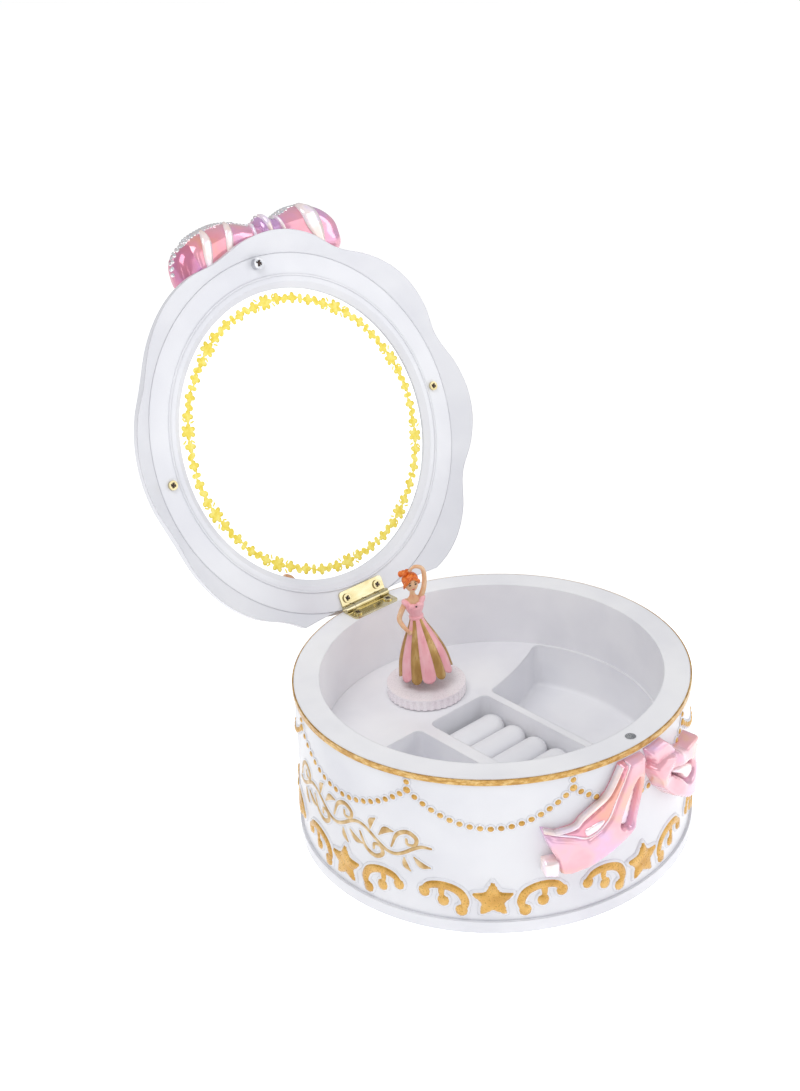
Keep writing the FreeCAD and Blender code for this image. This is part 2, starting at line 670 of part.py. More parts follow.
def winding_key():
    low = 1.2
    wings = box(-KEY_SPAN / 2, KEY_SPAN / 2, AXIS_Y - KEY_T / 2, AXIS_Y + KEY_T / 2, low, low + KEY_H)
    tips = [e for e in wings.Edges if e.BoundBox.YLength > 1 and e.BoundBox.XLength < 0.1]
    wings = wings.makeFillet(3.6, tips)
    for side in (-1, 1):
        hole = Part.makeCylinder(2.0, KEY_T * 2, V(side * KEY_SPAN * 0.3, AXIS_Y - KEY_T, low + KEY_H / 2), V(0, 1, 0))
        wings = wings.cut(hole)
    hub = cyl(2.8, low, low + KEY_H + 1.0, 0, AXIS_Y)
    return join([wings, hub]).cut(cyl(ARBOR_R, 3.5, low + KEY_H + 1.0, 0, AXIS_Y))


def movement_screw_places():
    return [(dx, AXIS_Y + dy) for dx, dy in (polar(12.5, 90), polar(12.5, 210), polar(12.5, 330))]


def movement_screws():
    return [screw(x, y, WELL_H, 1.9, 1.2, 1.0, PAN_T + BED_T, down=False) for x, y in movement_screw_places()]


def bedplate():
    plate = box(FAR_BRACKET_X - 4.5, 15.5, AXIS_Y - 15.4, AXIS_Y + 17.0, BED_Z, BED_Z + BED_T)
    corners = [e for e in plate.Edges if e.BoundBox.ZLength > 1 and e.BoundBox.XLength < 0.1]
    plate = plate.makeFillet(2.5, corners)
    plate = plate.cut(cyl(ARBOR_R + RUN_FIT, BED_Z, BED_Z + BED_T, 0, AXIS_Y))
    for x, y in movement_screw_places():
        plate = plate.cut(cyl(1.0, BED_Z, BED_Z + BED_T, x, y))
    return plate


def bearing_brackets():
    """Two upright plates that carry the cylinder and the air brake."""
    plates = []
    for x in (BRACKET_X - BRACKET_T, FAR_BRACKET_X - BRACKET_T):
        plate = box(x, x + BRACKET_T, AXIS_Y - 3.0, FAN_Y + 2.5, BED_Z + BED_T, FAN_Z + 1.8)
        plate = plate.cut(rod_x(CYLINDER_SHAFT_R + RUN_FIT, x, x + BRACKET_T, AXIS_Y, CYLINDER_Z))
        plates.append(plate.cut(rod_x(0.6 + RUN_FIT, x, x + BRACKET_T, FAN_Y, FAN_Z)))
    return plates


def spur_x(teeth, pitch_r, x0, x1, y, z, phase=0.0):
    """Spur gear on an axis along X: a root disc with tapered teeth."""
    pitch = 2 * math.pi * pitch_r / teeth
    foot, tip = tooth_block(pitch, TOOTH_DOWN, TOOTH_UP)
    root = pitch_r - TOOTH_DOWN
    low = root - 0.3
    high = pitch_r + TOOTH_UP
    points = [V(x0, -foot / 2, low), V(x0, foot / 2, low), V(x0, tip / 2, high), V(x0, -tip / 2, high)]
    tooth = Part.Face(Part.makePolygon(points + points[:1])).extrude(V(x1 - x0, 0, 0))
    pieces = [rod_x(root, x0, x1, 0, 0)]
    for k in range(teeth):
        pieces.append(turned(tooth, phase + 360.0 * k / teeth, V(0, 0, 0), V(1, 0, 0)))
    gear = join(pieces)
    gear.translate(V(0, y, z))
    return gear


def cylinder_pinion():
    """Meshes with the barrel's crown teeth: a gap of the pinion stands over a tooth of the crown."""
    x0 = -(CROWN_R + CROWN_FACE / 2)
    gear = spur_x(PINION_TEETH, PINION_R, x0, x0 + CROWN_FACE, AXIS_Y, CYLINDER_Z, 180.0 / PINION_TEETH)
    return gear.cut(rod_x(CYLINDER_SHAFT_R, x0, x0 + CROWN_FACE, AXIS_Y, CYLINDER_Z))


def pin_cylinder():
    x0, x1 = CYLINDER_X - CYLINDER_L, CYLINDER_X
    drum = rod_x(CYLINDER_R, x0, x1, AXIS_Y, CYLINDER_Z)
    shaft = rod_x(CYLINDER_SHAFT_R, FAR_BRACKET_X - BRACKET_T - 2.6, -(CROWN_R - CROWN_FACE / 2), AXIS_Y, CYLINDER_Z)
    pins = []
    for row in range(PIN_ROWS):
        x = x0 + CYLINDER_L * (row + 0.5) / PIN_ROWS
        for k in range(PINS_PER_ROW):
            angle = math.radians(360.0 * k / PINS_PER_ROW + 47.0 * row)
            pins.append(Part.makeCylinder(0.2, CYLINDER_R + 0.4, V(x, AXIS_Y, CYLINDER_Z),
                                          V(0, math.cos(angle), math.sin(angle))))
    return join([drum, shaft] + pins)


def brake_wheel():
    x1 = FAR_BRACKET_X - BRACKET_T - 0.4
    radius = FAN_CENTRES * WHEEL_TEETH / (WHEEL_TEETH + FAN_TEETH)
    gear = spur_x(WHEEL_TEETH, radius, x1 - 1.8, x1, AXIS_Y, CYLINDER_Z, 90.0 - FAN_TURN)
    return gear.cut(rod_x(CYLINDER_SHAFT_R, x1 - 1.8, x1, AXIS_Y, CYLINDER_Z))


def air_brake():
    """Fan on its shaft, with the small pinion that the brake wheel turns."""
    x1 = FAR_BRACKET_X - BRACKET_T - 0.4
    radius = FAN_CENTRES * FAN_TEETH / (WHEEL_TEETH + FAN_TEETH)
    facing = 90.0 - FAN_TURN + 180.0 + 180.0 / FAN_TEETH
    pinion = spur_x(FAN_TEETH, radius, x1 - 1.8, x1, FAN_Y, FAN_Z, -facing)
    shaft = rod_x(0.6, x1 - 2.2, BRACKET_X, FAN_Y, FAN_Z)
    blades = box(FAR_BRACKET_X + 1.0, BRACKET_X - BRACKET_T - 1.0, -FAN_R, FAN_R, -0.3, 0.3)
    blades.translate(V(0, FAN_Y, FAN_Z))
    return join([pinion, shaft, blades])


def comb_place():
    x0, x1 = CYLINDER_X - CYLINDER_L + 0.3, CYLINDER_X - 0.3
    tip_y = AXIS_Y - CYLINDER_R - 0.7
    return x0, x1, AXIS_Y - 15.2, tip_y


def comb():
    """Steel comb: one tooth for each note, tips beside the cylinder at the height of its axis."""
    x0, x1, back, tip = comb_place()
    pitch = (x1 - x0) / COMB_TEETH
    slit = 0.25
    root = back + 4.6
    outline = [(x0, back)]
    for k in range(COMB_TEETH):
        left, right = x0 + k * pitch + slit / 2, x0 + (k + 1) * pitch - slit / 2
        outline += [(left, root), (left, tip), (right, tip), (right, root)]
    outline[1] = (x0, root)
    outline[2] = (x0, tip)
    outline += [(x1, root), (x1, back)]
    plate = prism(outline, CYLINDER_Z - COMB_T / 2, CYLINDER_Z + COMB_T / 2)
    for x, y in comb_screw_places():
        plate = plate.cut(cyl(1.05, CYLINDER_Z - COMB_T, CYLINDER_Z + COMB_T, x, y))
    return plate


def comb_screw_places():
    x0, x1, back, tip = comb_place()
    return [(x0 + 3.5, back + 2.2), (x1 - 3.5, back + 2.2)]


def comb_block():
    x0, x1, back, tip = comb_place()
    block = box(x0, x1, back, back + 4.4, BED_Z + BED_T, CYLINDER_Z - COMB_T / 2)
    for x, y in comb_screw_places():
        block = block.cut(cyl(1.0, CYLINDER_Z - COMB_T / 2 - 4.0, CYLINDER_Z, x, y))
    return block


def comb_screws():
    return [screw(x, y, CYLINDER_Z + COMB_T / 2, 1.7, 1.0, 1.0, COMB_T + 3.5) for x, y in comb_screw_places()]


# ---------------------------------------------------------------- dancer

def place_dancer(shape):
    """From the dancer's own frame (hem centre, facing -Y) to her place, leaning on the spring."""
    placed = shape.copy()
    placed.rotate(V(0, 0, 0), V(0, 1, 0), -LEAN)
    placed.rotate(V(0, 0, 0), UP, FACING + 90.0)
    placed.translate(V(0, AXIS_Y, ATTACH_Z))
    return placed


def skirt_profile(offset):
    heights = [0.0, 0.3, 0.6, 0.85, 1.0]
    radii = [HEM_R, HEM_R * 0.88, HEM_R * 0.64, HEM_R * 0.38, WAIST_R]
    return [V(max(r - offset, 0.6), 0, h * SKIRT_H) for h, r in zip(heights, radii)]


def dancer_skirt():
    outer, inner = Part.BSplineCurve(), Part.BSplineCurve()
    outer.interpolate(skirt_profile(0.0))
    inner.interpolate(skirt_profile(SKIRT_T))
    start, end = skirt_profile(0.0), skirt_profile(SKIRT_T)
    edges = [outer.toShape(), Part.makeLine(start[-1], end[-1]), inner.toShape(), Part.makeLine(end[0], start[0])]
    shell = Part.Face(Part.Wire(Part.__sortEdges__(edges))).revolve(V(0, 0, 0), UP, 360)
    return place_dancer(shell)


def limb(points, r0, r1):
    """Arm through points, tapering, with round joints."""
    pieces = []
    count = len(points) - 1
    for k, (a, b) in enumerate(zip(points, points[1:])):
        start, end = V(*a), V(*b)
        ra = r0 + (r1 - r0) * k / count
        rb = r0 + (r1 - r0) * (k + 1) / count
        along = end - start
        pieces.append(Part.makeCone(ra, rb, along.Length, start, along))
        pieces.append(Part.makeSphere(rb, end))
    return pieces


def dancer_figure():
    """Bodice, neck, head with bun, one arm over the head and one hand on the hip, moulded in one."""
    waist = SKIRT_H
    bust = waist + 5.2
    shoulder = waist + 8.6
    head = waist + 15.6
    body = [
        Part.makeCone(WAIST_R, 3.6, bust - waist, V(0, 0, waist)),
        Part.makeCone(3.6, 1.6, shoulder - bust + 0.4, V(0, 0, bust)),
        cyl(1.1, shoulder, head - 2.0),
        Part.makeSphere(3.7, V(0.2, 0, head)),
        Part.makeSphere(2.2, V(-1.8, 1.2, head + 3.6)),
        Part.makeSphere(1.3, V(-3.6, 0, shoulder - 0.9)),
        Part.makeSphere(1.3, V(3.6, 0, shoulder - 0.9)),
    ]
    raised = [(3.4, 0, shoulder - 0.9), (5.6, 0, shoulder + 4.5), (6.1, 0, head + 2.6), (4.2, 0, head + 6.0),
              (1.2, -0.4, head + 6.6), (-0.6, -0.8, head + 5.2)]
    hip = [(-3.4, 0, shoulder - 0.9), (-6.6, 0.2, shoulder - 7.6), (-4.4, -2.8, waist - 5.0), (-2.6, -4.0, waist - 6.6)]
    figure = join(body + limb(raised, 1.1, 0.8) + limb(hip, 1.1, 0.8))
    waist_cut = cyl(WAIST_R - SKIRT_T, 0, waist)
    clear = Part.makeCone(HEM_R + 0.5, WAIST_R + 0.3, waist)
    return place_dancer(figure.cut(clear).cut(waist_cut))


def spring_plug():
    """Peg moulded inside the skirt that the spring end is pressed on."""
    top = SKIRT_H
    peg = cyl(WAIST_R - SKIRT_T, top - PLUG_H - 4.0, top)
    return place_dancer(peg.common(Part.makeCone(HEM_R, WAIST_R - SKIRT_T, top)))


def dancer_spring():
    length = HEM_RISE + SKIRT_H - PLUG_H - 4.0 - 1.2
    helix = Part.makeHelix(length / SPRING_TURNS, length, SPRING_R)
    section = Part.Wire(Part.Circle(V(SPRING_R, 0, 0), V(0, 1, 0), SPRING_WIRE).toShape())
    coil = Part.Wire(helix).makePipeShell([section], True, True)
    coil.translate(V(0, AXIS_Y, TABLE_TOP + SPRING_WIRE + 0.05))
    return coil


def main():
    os.makedirs("parts", exist_ok=True)

    save("outer_shell", outer_shell())
    save("jewel_tray", jewel_tray())
    save("ring_rolls", ring_rolls())
    save("gold_rim_band", gold_rim_band())
    save("base_pan", base_pan())
    save("base_screws", *base_screws())
    save("star_reliefs", *star_reliefs())
    save("scroll_reliefs", *scroll_reliefs())
    save("shoe_relief", shoe_relief())
    save("drum_bow_relief", drum_bow_relief())
    save("catch_magnet", catch_magnet())

    save("hinge_leaf_lower", leaf(middle_span(), True))
    save("hinge_pin", hinge_pin())
    save("hinge_screws_lower", *hinge_screws(True))
    save("hinge_leaf_upper", open_lid(leaf(outer_spans(), False)))
    save("hinge_screws_upper", *[open_lid(s) for s in hinge_screws(False)])

    save("lid_shell", open_lid(lid_shell()))
    save("lid_frame", open_lid(lid_frame()))
    save("mirror", open_lid(mirror()))
    save("lid_screws", *[open_lid(s) for s in lid_screws()])
    save("catch_screw", open_lid(catch_screw()))
    save("lid_bow", open_lid(lid_bow()))

    save("turntable_disc", turntable_disc())
    save("drive_shaft", drive_shaft())
    save("shaft_bush", shaft_bush())
    save("spring_barrel", spring_barrel())
    save("mainspring", mainspring())
    save("winding_arbor", winding_arbor())
    save("winding_key", winding_key())

    save("movement_bedplate", bedplate())
    save("movement_screws", *movement_screws())
    save("bearing_brackets", *bearing_brackets())
    save("pin_cylinder", pin_cylinder())
    save("cylinder_pinion", cylinder_pinion())
    save("brake_wheel", brake_wheel())
    save("air_brake", air_brake())
    save("comb", comb())
    save("comb_block", comb_block())
    save("comb_screws", *comb_screws())

    save("dancer_skirt", dancer_skirt())
    save("dancer_figure", dancer_figure())
    save("spring_plug", spring_plug())
    save("dancer_spring", dancer_spring())


main()
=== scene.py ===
"""Looks of a round musical jewellery box: white drum with gold and pearly reliefs, mirrored lid, dancer."""
import json
import math

import bmesh
import bpy
import numpy as np
from mathutils import Matrix, Vector
from mathutils.geometry import delaunay_2d_cdt


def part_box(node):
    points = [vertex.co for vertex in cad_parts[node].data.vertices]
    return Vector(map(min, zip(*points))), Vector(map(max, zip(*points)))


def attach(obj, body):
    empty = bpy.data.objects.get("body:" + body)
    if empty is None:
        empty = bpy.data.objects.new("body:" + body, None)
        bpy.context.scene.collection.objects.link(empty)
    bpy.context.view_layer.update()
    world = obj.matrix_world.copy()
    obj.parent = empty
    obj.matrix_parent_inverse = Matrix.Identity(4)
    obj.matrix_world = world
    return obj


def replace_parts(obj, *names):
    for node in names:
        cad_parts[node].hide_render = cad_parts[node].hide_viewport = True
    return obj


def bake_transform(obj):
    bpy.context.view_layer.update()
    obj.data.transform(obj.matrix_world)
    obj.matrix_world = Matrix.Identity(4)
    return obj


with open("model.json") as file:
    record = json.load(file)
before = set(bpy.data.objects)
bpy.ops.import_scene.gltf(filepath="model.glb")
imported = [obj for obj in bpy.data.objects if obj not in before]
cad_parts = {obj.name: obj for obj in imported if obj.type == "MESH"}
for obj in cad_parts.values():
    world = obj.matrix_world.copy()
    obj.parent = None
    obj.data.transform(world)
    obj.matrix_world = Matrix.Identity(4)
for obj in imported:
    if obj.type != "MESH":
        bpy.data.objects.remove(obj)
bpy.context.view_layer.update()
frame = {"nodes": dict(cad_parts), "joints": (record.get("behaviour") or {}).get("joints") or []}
nodes = frame["nodes"]
MM = 0.001

hinge = next(j for j in frame["joints"] if j["name"] == "lid_hinge")
HINGE_AT = Vector(hinge["pos_m"])
LID_OPEN = math.radians(hinge["range_deg"][1])
SWING = Matrix.Translation(HINGE_AT) @ Matrix.Rotation(-LID_OPEN, 4, "X") @ Matrix.Translation(-HINGE_AT)


# ---------------------------------------------------------------- nodes and materials

def linear(hex_code):
    """sRGB hex to scene-linear RGBA."""
    parts = [int(hex_code[i:i + 2], 16) / 255 for i in (1, 3, 5)]
    return tuple(c / 12.92 if c <= 0.04045 else ((c + 0.055) / 1.055) ** 2.4 for c in parts) + (1.0,)


def add(tree, kind, links=(), values=(), **settings):
    """Add a node with its settings, its socket values and its links from other nodes' outputs."""
    made = tree.nodes.new(kind)
    for name, value in settings.items():
        setattr(made, name, value)
    for socket, value in dict(values).items():
        made.inputs[socket].default_value = value
    for socket, source in dict(links).items():
        tree.links.new(source, made.inputs[socket])
    return made


def finish(name, colours, patch, rough, grain, relief, stretch=(1, 1, 1), edge=0.0, specks=None, **fixed):
    """A material. Sizes are in mm: colours drift over patches, roughness and relief follow a finer grain,
    specks is (colour, size, share), edge rounds the corners that the light sees."""
    made = bpy.data.materials.new(name)
    made.use_nodes = True
    tree = made.node_tree
    shader = tree.nodes["Principled BSDF"]
    spot = add(tree, "ShaderNodeTexCoord").outputs["Object"]
    spot = add(tree, "ShaderNodeMapping", {"Vector": spot}, {"Scale": stretch}).outputs["Vector"]
    drift = add(tree, "ShaderNodeTexNoise", {"Vector": spot}, {"Scale": 1 / (patch * MM), "Detail": 3.0})
    ramp = add(tree, "ShaderNodeValToRGB", {"Fac": drift.outputs["Fac"]})
    stops = ramp.color_ramp.elements
    while len(stops) < len(colours):
        stops.new(0.5)
    for k, colour in enumerate(colours):
        stops[k].position = 0.34 + 0.32 * k / max(len(colours) - 1, 1)
        stops[k].color = linear(colour)
    colour = ramp.outputs["Color"]
    fine = add(tree, "ShaderNodeTexNoise", {"Vector": spot}, {"Scale": 1 / (grain * MM), "Detail": 4.0})
    if specks:
        dots = add(tree, "ShaderNodeTexNoise", {"Vector": spot},
                   {"Scale": 1 / (specks[1] * MM), "Detail": 1.0})
        share = add(tree, "ShaderNodeMapRange", {"Value": dots.outputs["Fac"]},
                    {"From Min": 0.62 - 0.1 * specks[2], "From Max": 0.72, "To Max": specks[2]})
        blend = add(tree, "ShaderNodeMix", {"Factor": share.outputs["Result"], 6: colour},
                    {7: linear(specks[0])},
                    data_type="RGBA")
        colour = blend.outputs[2]
    tree.links.new(colour, shader.inputs["Base Color"])
    gloss = add(tree, "ShaderNodeMapRange", {"Value": fine.outputs["Fac"]},
                {"From Min": 0.3, "From Max": 0.7, "To Min": rough[0], "To Max": rough[1]})
    tree.links.new(gloss.outputs["Result"], shader.inputs["Roughness"])
    bump = add(tree, "ShaderNodeBump", {"Height": fine.outputs["Fac"]},
               {"Strength": 1.0, "Distance": relief * MM})
    if edge:
        round_off = add(tree, "ShaderNodeBevel", values={"Radius": edge * MM}, samples=4)
        tree.links.new(round_off.outputs["Normal"], bump.inputs["Normal"])
    tree.links.new(bump.outputs["Normal"], shader.inputs["Normal"])
    for socket, value in fixed.items():
        shader.inputs[socket.replace("_", " ")].default_value = value
    return made


# Glossy white ABS: a soft sheen with faint flow marks, corners rounded by the mould.
white_abs = finish("abs_moulded_shell", ("#d9dae1", "#dfe0e6", "#e4e5ea"), 34, (0.20, 0.27), 1.3, 0.006,
                   edge=0.5, IOR=1.54)
# The liner is the same plastic from a matter mould, so its walls blur what they reflect.
tray_abs = finish("abs_moulded_liner", ("#ececf1", "#f1f1f5", "#f5f5f8"), 28, (0.30, 0.38), 0.9, 0.008,
                  edge=0.7, IOR=1.54)
# The lid has the finest polish, with a slight waviness where the plastic shrank over its ribs.
lid_abs = finish("abs_moulded_lid", ("#dbdce3", "#e1e2e8", "#e7e8ed"), 40, (0.17, 0.24), 2.2, 0.012,
                 edge=0.5, IOR=1.54)
# The turntable picks up a pink tint and has a fine turned texture.
table_abs = finish("abs_turned_table", ("#f3e9ee", "#f8f1f4", "#f5edf1"), 9, (0.24, 0.34), 0.5, 0.006,
                   edge=0.3, IOR=1.54)
# Gold lacquer put on by brush: warm, streaky, darker where it is thin.
rim_gold = finish("gold_lacquer_brushed_rim", ("#b0833a", "#c99b4c", "#dfbf80"), 3.2, (0.24, 0.44), 0.7, 0.03,
                  (1, 1, 3), specks=("#94692a", 1.1, 0.5), Metallic=0.45, Coat_Weight=0.3)
star_gold = finish("gold_lacquer_poured", ("#c08f38", "#cf9f48", "#d9ae60"), 6.0, (0.24, 0.36), 0.8, 0.015,
                   specks=("#b07d2c", 1.8, 0.35), Metallic=0.35, Coat_Weight=0.35)
# The flourish has a thinner, paler gold wash.
flourish_gold = finish("gold_wash_pale", ("#b58f55", "#c8a976", "#dac199"), 3.0, (0.30, 0.46), 0.6, 0.02,
                       Metallic=0.5, Coat_Weight=0.2)
# Pearl lacquer over pink ABS: milky pink that turns to lavender and peach, under a hard clear coat.
pearl_pink = finish("pearl_lacquer_pink", ("#efa596", "#ee9cab", "#efa6b8", "#e8a4c4", "#d2a6d8"), 20,
                    (0.10, 0.16), 1.6, 0.004, edge=0.4, Metallic=0.35, Coat_Weight=1.0, Coat_Roughness=0.04,
                    Thin_Film_Thickness=430.0, Thin_Film_IOR=1.45)
# The same lacquer sprayed thinner on the drum's trimmings; then a pale copy as painted highlight, then a deeper
# pink copy as painted shade.
pearl_soft = finish("pearl_lacquer_soft", ("#f0b9ae", "#f0b2c0", "#f3bcc9", "#eab9d6", "#dcbce6"), 18,
                    (0.10, 0.16), 1.6, 0.004, edge=0.4, Metallic=0.25, Coat_Weight=1.0, Coat_Roughness=0.04,
                    Thin_Film_Thickness=430.0, Thin_Film_IOR=1.45)
painted_pearl_highlight = finish("pearl_painted_highlight", ("#fbe3dc", "#fdeef0", "#f4e6fb"), 6, (0.08, 0.14), 1.2, 0.003,
                    Metallic=0.2, Coat_Weight=1.0, Coat_Roughness=0.03)
pearl_painted_shade = finish("pearl_lacquer_painted_shade", ("#d97f96", "#cf7fa3", "#b884bb"), 12, (0.12, 0.2), 1.4, 0.004,
                    Metallic=0.4, Coat_Weight=1.0, Coat_Roughness=0.05, Thin_Film_Thickness=380.0)
# Brass plating on stamped steel: bright pale yellow with fine rolling marks.
brass_plate = finish("brass_plate_stamped", ("#cbbd8e", "#d8cca2", "#e3d9b8"), 9.0, (0.10, 0.17), 0.35, 0.004,
                     (1, 4, 1), edge=0.15, Metallic=1.0)
bright_steel = finish("nickel_plated_steel", ("#b9bbc0", "#cfd0d4", "#dddee0"), 2.2, (0.12, 0.24), 0.4, 0.006,
                      Metallic=1.0)
magnet_nickel = finish("nickel_plated_magnet", ("#a4a7ad", "#b9bcc1", "#c8cacd"), 1.6, (0.22, 0.34), 0.3,
                       0.006,
                       Metallic=1.0)
# Silvered float glass: almost flawless, a breath of haze.
mirror_glass = finish("float_glass_silvered", ("#f3f5f5", "#f7f8f8"), 45, (0.01, 0.03), 12, 0.0005,
                      Metallic=1.0)
# Yellow screen print on the glass.
print_yellow = finish("screen_print_yellow", ("#e9cf3c", "#f0dc58", "#f5e67c"), 2.0, (0.35, 0.5), 0.4, 0.01)
movement_brass = finish("brass_turned", ("#b3924a", "#c7a85e", "#d3b872"), 3.0, (0.22, 0.36), 0.4, 0.008,
                        (4, 1, 1), Metallic=1.0)
movement_zinc = finish("zinc_die_cast", ("#9a9ca0", "#a9abaf", "#b5b7ba"), 5.0, (0.38, 0.55), 0.5, 0.03,
                       Metallic=1.0)
spring_steel = finish("spring_steel_blued", ("#6f7680", "#8a9099", "#a2a7ae"), 3.0, (0.2, 0.32), 0.3, 0.006,
                      Metallic=1.0)
white_nylon = finish("nylon_moulded", ("#e8e4d8", "#efece2", "#f3f1ea"), 6.0, (0.38, 0.5), 0.5, 0.01,
                     Subsurface_Weight=0.1)
# Painted PVC doll: satin, brush marks on the dress, soft light through the skin.
dress_pink = finish("pvc_painted_pink", ("#eda3ac", "#f3b1b8", "#f7c1c6"), 4.0, (0.34, 0.46), 0.5, 0.02,
                    (1, 1, 0.3), specks=("#e795a1", 1.2, 0.5), Coat_Weight=0.15)
petal_gold = finish("pvc_painted_antique_gold", ("#ab8245", "#bd9455", "#cfab72"), 3.0, (0.32, 0.46), 0.4,
                    0.03,
                    (1, 1, 0.25), specks=("#94692f", 0.9, 0.4), Metallic=0.3)
doll_skin = finish("pvc_moulded_skin", ("#e2a380", "#e8b48c", "#edbf9c"), 3.5, (0.36, 0.48), 0.4, 0.008,
                   Subsurface_Weight=0.15)
doll_hair = finish("pvc_painted_hair", ("#c8551a", "#e8731e", "#f29140"), 1.2, (0.28, 0.42), 0.35, 0.05,
                   (1, 3, 1), specks=("#a5400f", 0.8, 0.7))
# Dark brown paint for the doll's eyes, brows and bodice stone, also used as painted shade in screw recesses and
# hinge gaps.
dark_paint_and_shade = finish("dark_brown_paint_and_painted_shade", ("#2b1a14", "#3a241b"), 0.8, (0.25, 0.35), 0.3, 0.004)
face_red = finish("paint_coral_red", ("#b9353a", "#cc4a48"), 0.8, (0.25, 0.35), 0.3, 0.004)
# Cut acrylic stones with foil behind them: bright facets, faint pink and blue.
rhinestone = finish("acrylic_foiled_stone", ("#f6e4ec", "#ffffff", "#dfe9f8"), 1.1, (0.03, 0.08), 0.9, 0.001,
                    Metallic=0.85, Coat_Weight=1.0)

SURFACES = {
    "outer_shell": white_abs, "base_pan": white_abs, "jewel_tray": tray_abs, "ring_rolls": tray_abs,
    "gold_rim_band": rim_gold, "base_screws": bright_steel, "catch_magnet": magnet_nickel,
    "hinge_leaf_lower": brass_plate, "hinge_leaf_upper": brass_plate, "hinge_pin": brass_plate,
    "hinge_screws_lower": brass_plate, "hinge_screws_upper": brass_plate, "lid_screws": brass_plate,
    "catch_screw": bright_steel, "lid_shell": lid_abs, "lid_frame": lid_abs, "mirror": mirror_glass,
    "shaft_bush": white_nylon, "movement_bedplate": movement_zinc, "movement_screws": bright_steel,
    "bearing_brackets": movement_brass, "comb": spring_steel, "comb_block": movement_zinc,
    "comb_screws": bright_steel, "turntable_disc": table_abs, "drive_shaft": bright_steel,
    "spring_barrel": movement_brass, "mainspring": spring_steel, "winding_arbor": bright_steel,
    "winding_key": bright_steel, "pin_cylinder": movement_brass, "cylinder_pinion": movement_brass,
    "brake_wheel": white_nylon, "air_brake": white_nylon, "spring_plug": white_nylon,
}
for node, surface in SURFACES.items():
    nodes[node].data.materials.clear()
    nodes[node].data.materials.append(surface)


# ---------------------------------------------------------------- mesh making

def piece(name, points, faces, surfaces, body, which=None, smooth=True, swing=False, levels=0):
    """A mesh object in place, points in mm; swing turns a lid piece from closed to open."""
    mesh = bpy.data.meshes.new(name)
    mesh.from_pydata([Vector(p) * MM for p in points], [], faces)
    for surface in surfaces if isinstance(surfaces, (list, tuple)) else [surfaces]:
        mesh.materials.append(surface)
    if which is not None:
        mesh.polygons.foreach_set("material_index", which)
    work = bmesh.new()
    work.from_mesh(mesh)
    bmesh.ops.remove_doubles(work, verts=work.verts, dist=1e-6)
    bmesh.ops.recalc_face_normals(work, faces=work.faces)
    work.to_mesh(mesh)
    work.free()
    if swing:
        mesh.transform(SWING)
    mesh.polygons.foreach_set("use_smooth", [smooth] * len(mesh.polygons))
    made = bpy.data.objects.new(name, mesh)
    bpy.context.scene.collection.objects.link(made)
    if levels:
        soften = made.modifiers.new("soften", "SUBSURF")
        soften.levels = soften.render_levels = levels
    if body:
        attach(made, body)
    return made


def merged(name, parts, surfaces, body, **settings):
    """Several (points, faces) shells as one piece; surfaces may be one per shell."""
    points, faces, which = [], [], []
    several = isinstance(surfaces, (list, tuple))
    kinds = list(dict.fromkeys(surfaces)) if several else [surfaces]
    for k, (p, f) in enumerate(parts):
        faces += [[i + len(points) for i in face] for face in f]
        points += [tuple(q) for q in p]
        which += [kinds.index(surfaces[k]) if several else 0] * len(f)
    return piece(name, points, faces, kinds, body, which, **settings)


def tube(rings):
    """Closed shell through rings of equal point count, ends closed to their centres."""
    count = len(rings[0])
    points = [p for ring in rings for p in ring]
    faces = []
    for k in range(len(rings) - 1):
        for i in range(count):
            j = (i + 1) % count
            faces.append([k * count + i, k * count + j, (k + 1) * count + j, (k + 1) * count + i])
    for ring, base in ((rings[0], 0), (rings[-1], (len(rings) - 1) * count)):
        centre = len(points)
        points.append(tuple(sum(c) / count for c in zip(*ring)))
        faces += [[base + i, base + (i + 1) % count, centre] for i in range(count)]
    return points, faces


def smooth_path(points, steps):
    """Catmull-Rom points through the given ones."""
    pts = [np.array(p, float) for p in points]
    pts = [2 * pts[0] - pts[1]] + pts + [2 * pts[-1] - pts[-2]]
    out = []
    for k in range(1, len(pts) - 2):
        a, b, c, d = pts[k - 1:k + 3]
        for i in range(steps):
            t = i / steps
            out.append(0.5 * (2 * b + (c - a) * t + (2 * a - 5 * b + 4 * c - d) * t ** 2
                              + (3 * b - a - 3 * c + d) * t ** 3))
    return out + [pts[-2]]


def limb(points, radii, steps=5, sides=12):
    """Round limb along a smooth path, its radius following the given ones, with rounded ends."""
    path = smooth_path([tuple(p) + (r,) for p, r in zip(points, radii)], steps)
    rings = []
    across = Vector((0, 1, 0.2)).normalized()
    for k, q in enumerate(path):
        ahead = Vector(path[min(k + 1, len(path) - 1)][:3]) - Vector(path[max(k - 1, 0)][:3])
        ahead.normalize()
        across = (across - ahead * across.dot(ahead)).normalized()
        side = ahead.cross(across)
        turns = [2 * math.pi * i / sides for i in range(sides)]
        caps = [(0.0, 1.0)]
        if k in (0, len(path) - 1):
            sign = -1 if k == 0 else 1
            caps = [(sign * math.sin(a), math.cos(a)) for a in (0, 0.6, 1.1, 1.45)]
            caps = caps[::-1] if k == 0 else caps
        for along, share in caps:
            centre = Vector(q[:3]) + ahead * along * q[3]
            rings.append([tuple(centre + (across * math.cos(t) + side * math.sin(t)) * q[3] * share)
                          for t in turns])
    return tube(rings)


def lathe(sections, sides=32):
    """Shell through (x, y, z, half width, half depth) sections."""
    return tube([[(x + w * math.cos(t), y + d * math.sin(t), z)
                  for t in (2 * math.pi * i / sides for i in range(sides))] for x, y, z, w, d in sections])


def ball(centre, radii, rings=10, sides=16):
    x, y, z = centre
    return lathe([(x, y, z + radii[2] * math.sin(a), radii[0] * math.cos(a), radii[1] * math.cos(a))
                  for a in (math.pi * (k / rings - 0.5) * 0.98 for k in range(rings + 1))], sides)


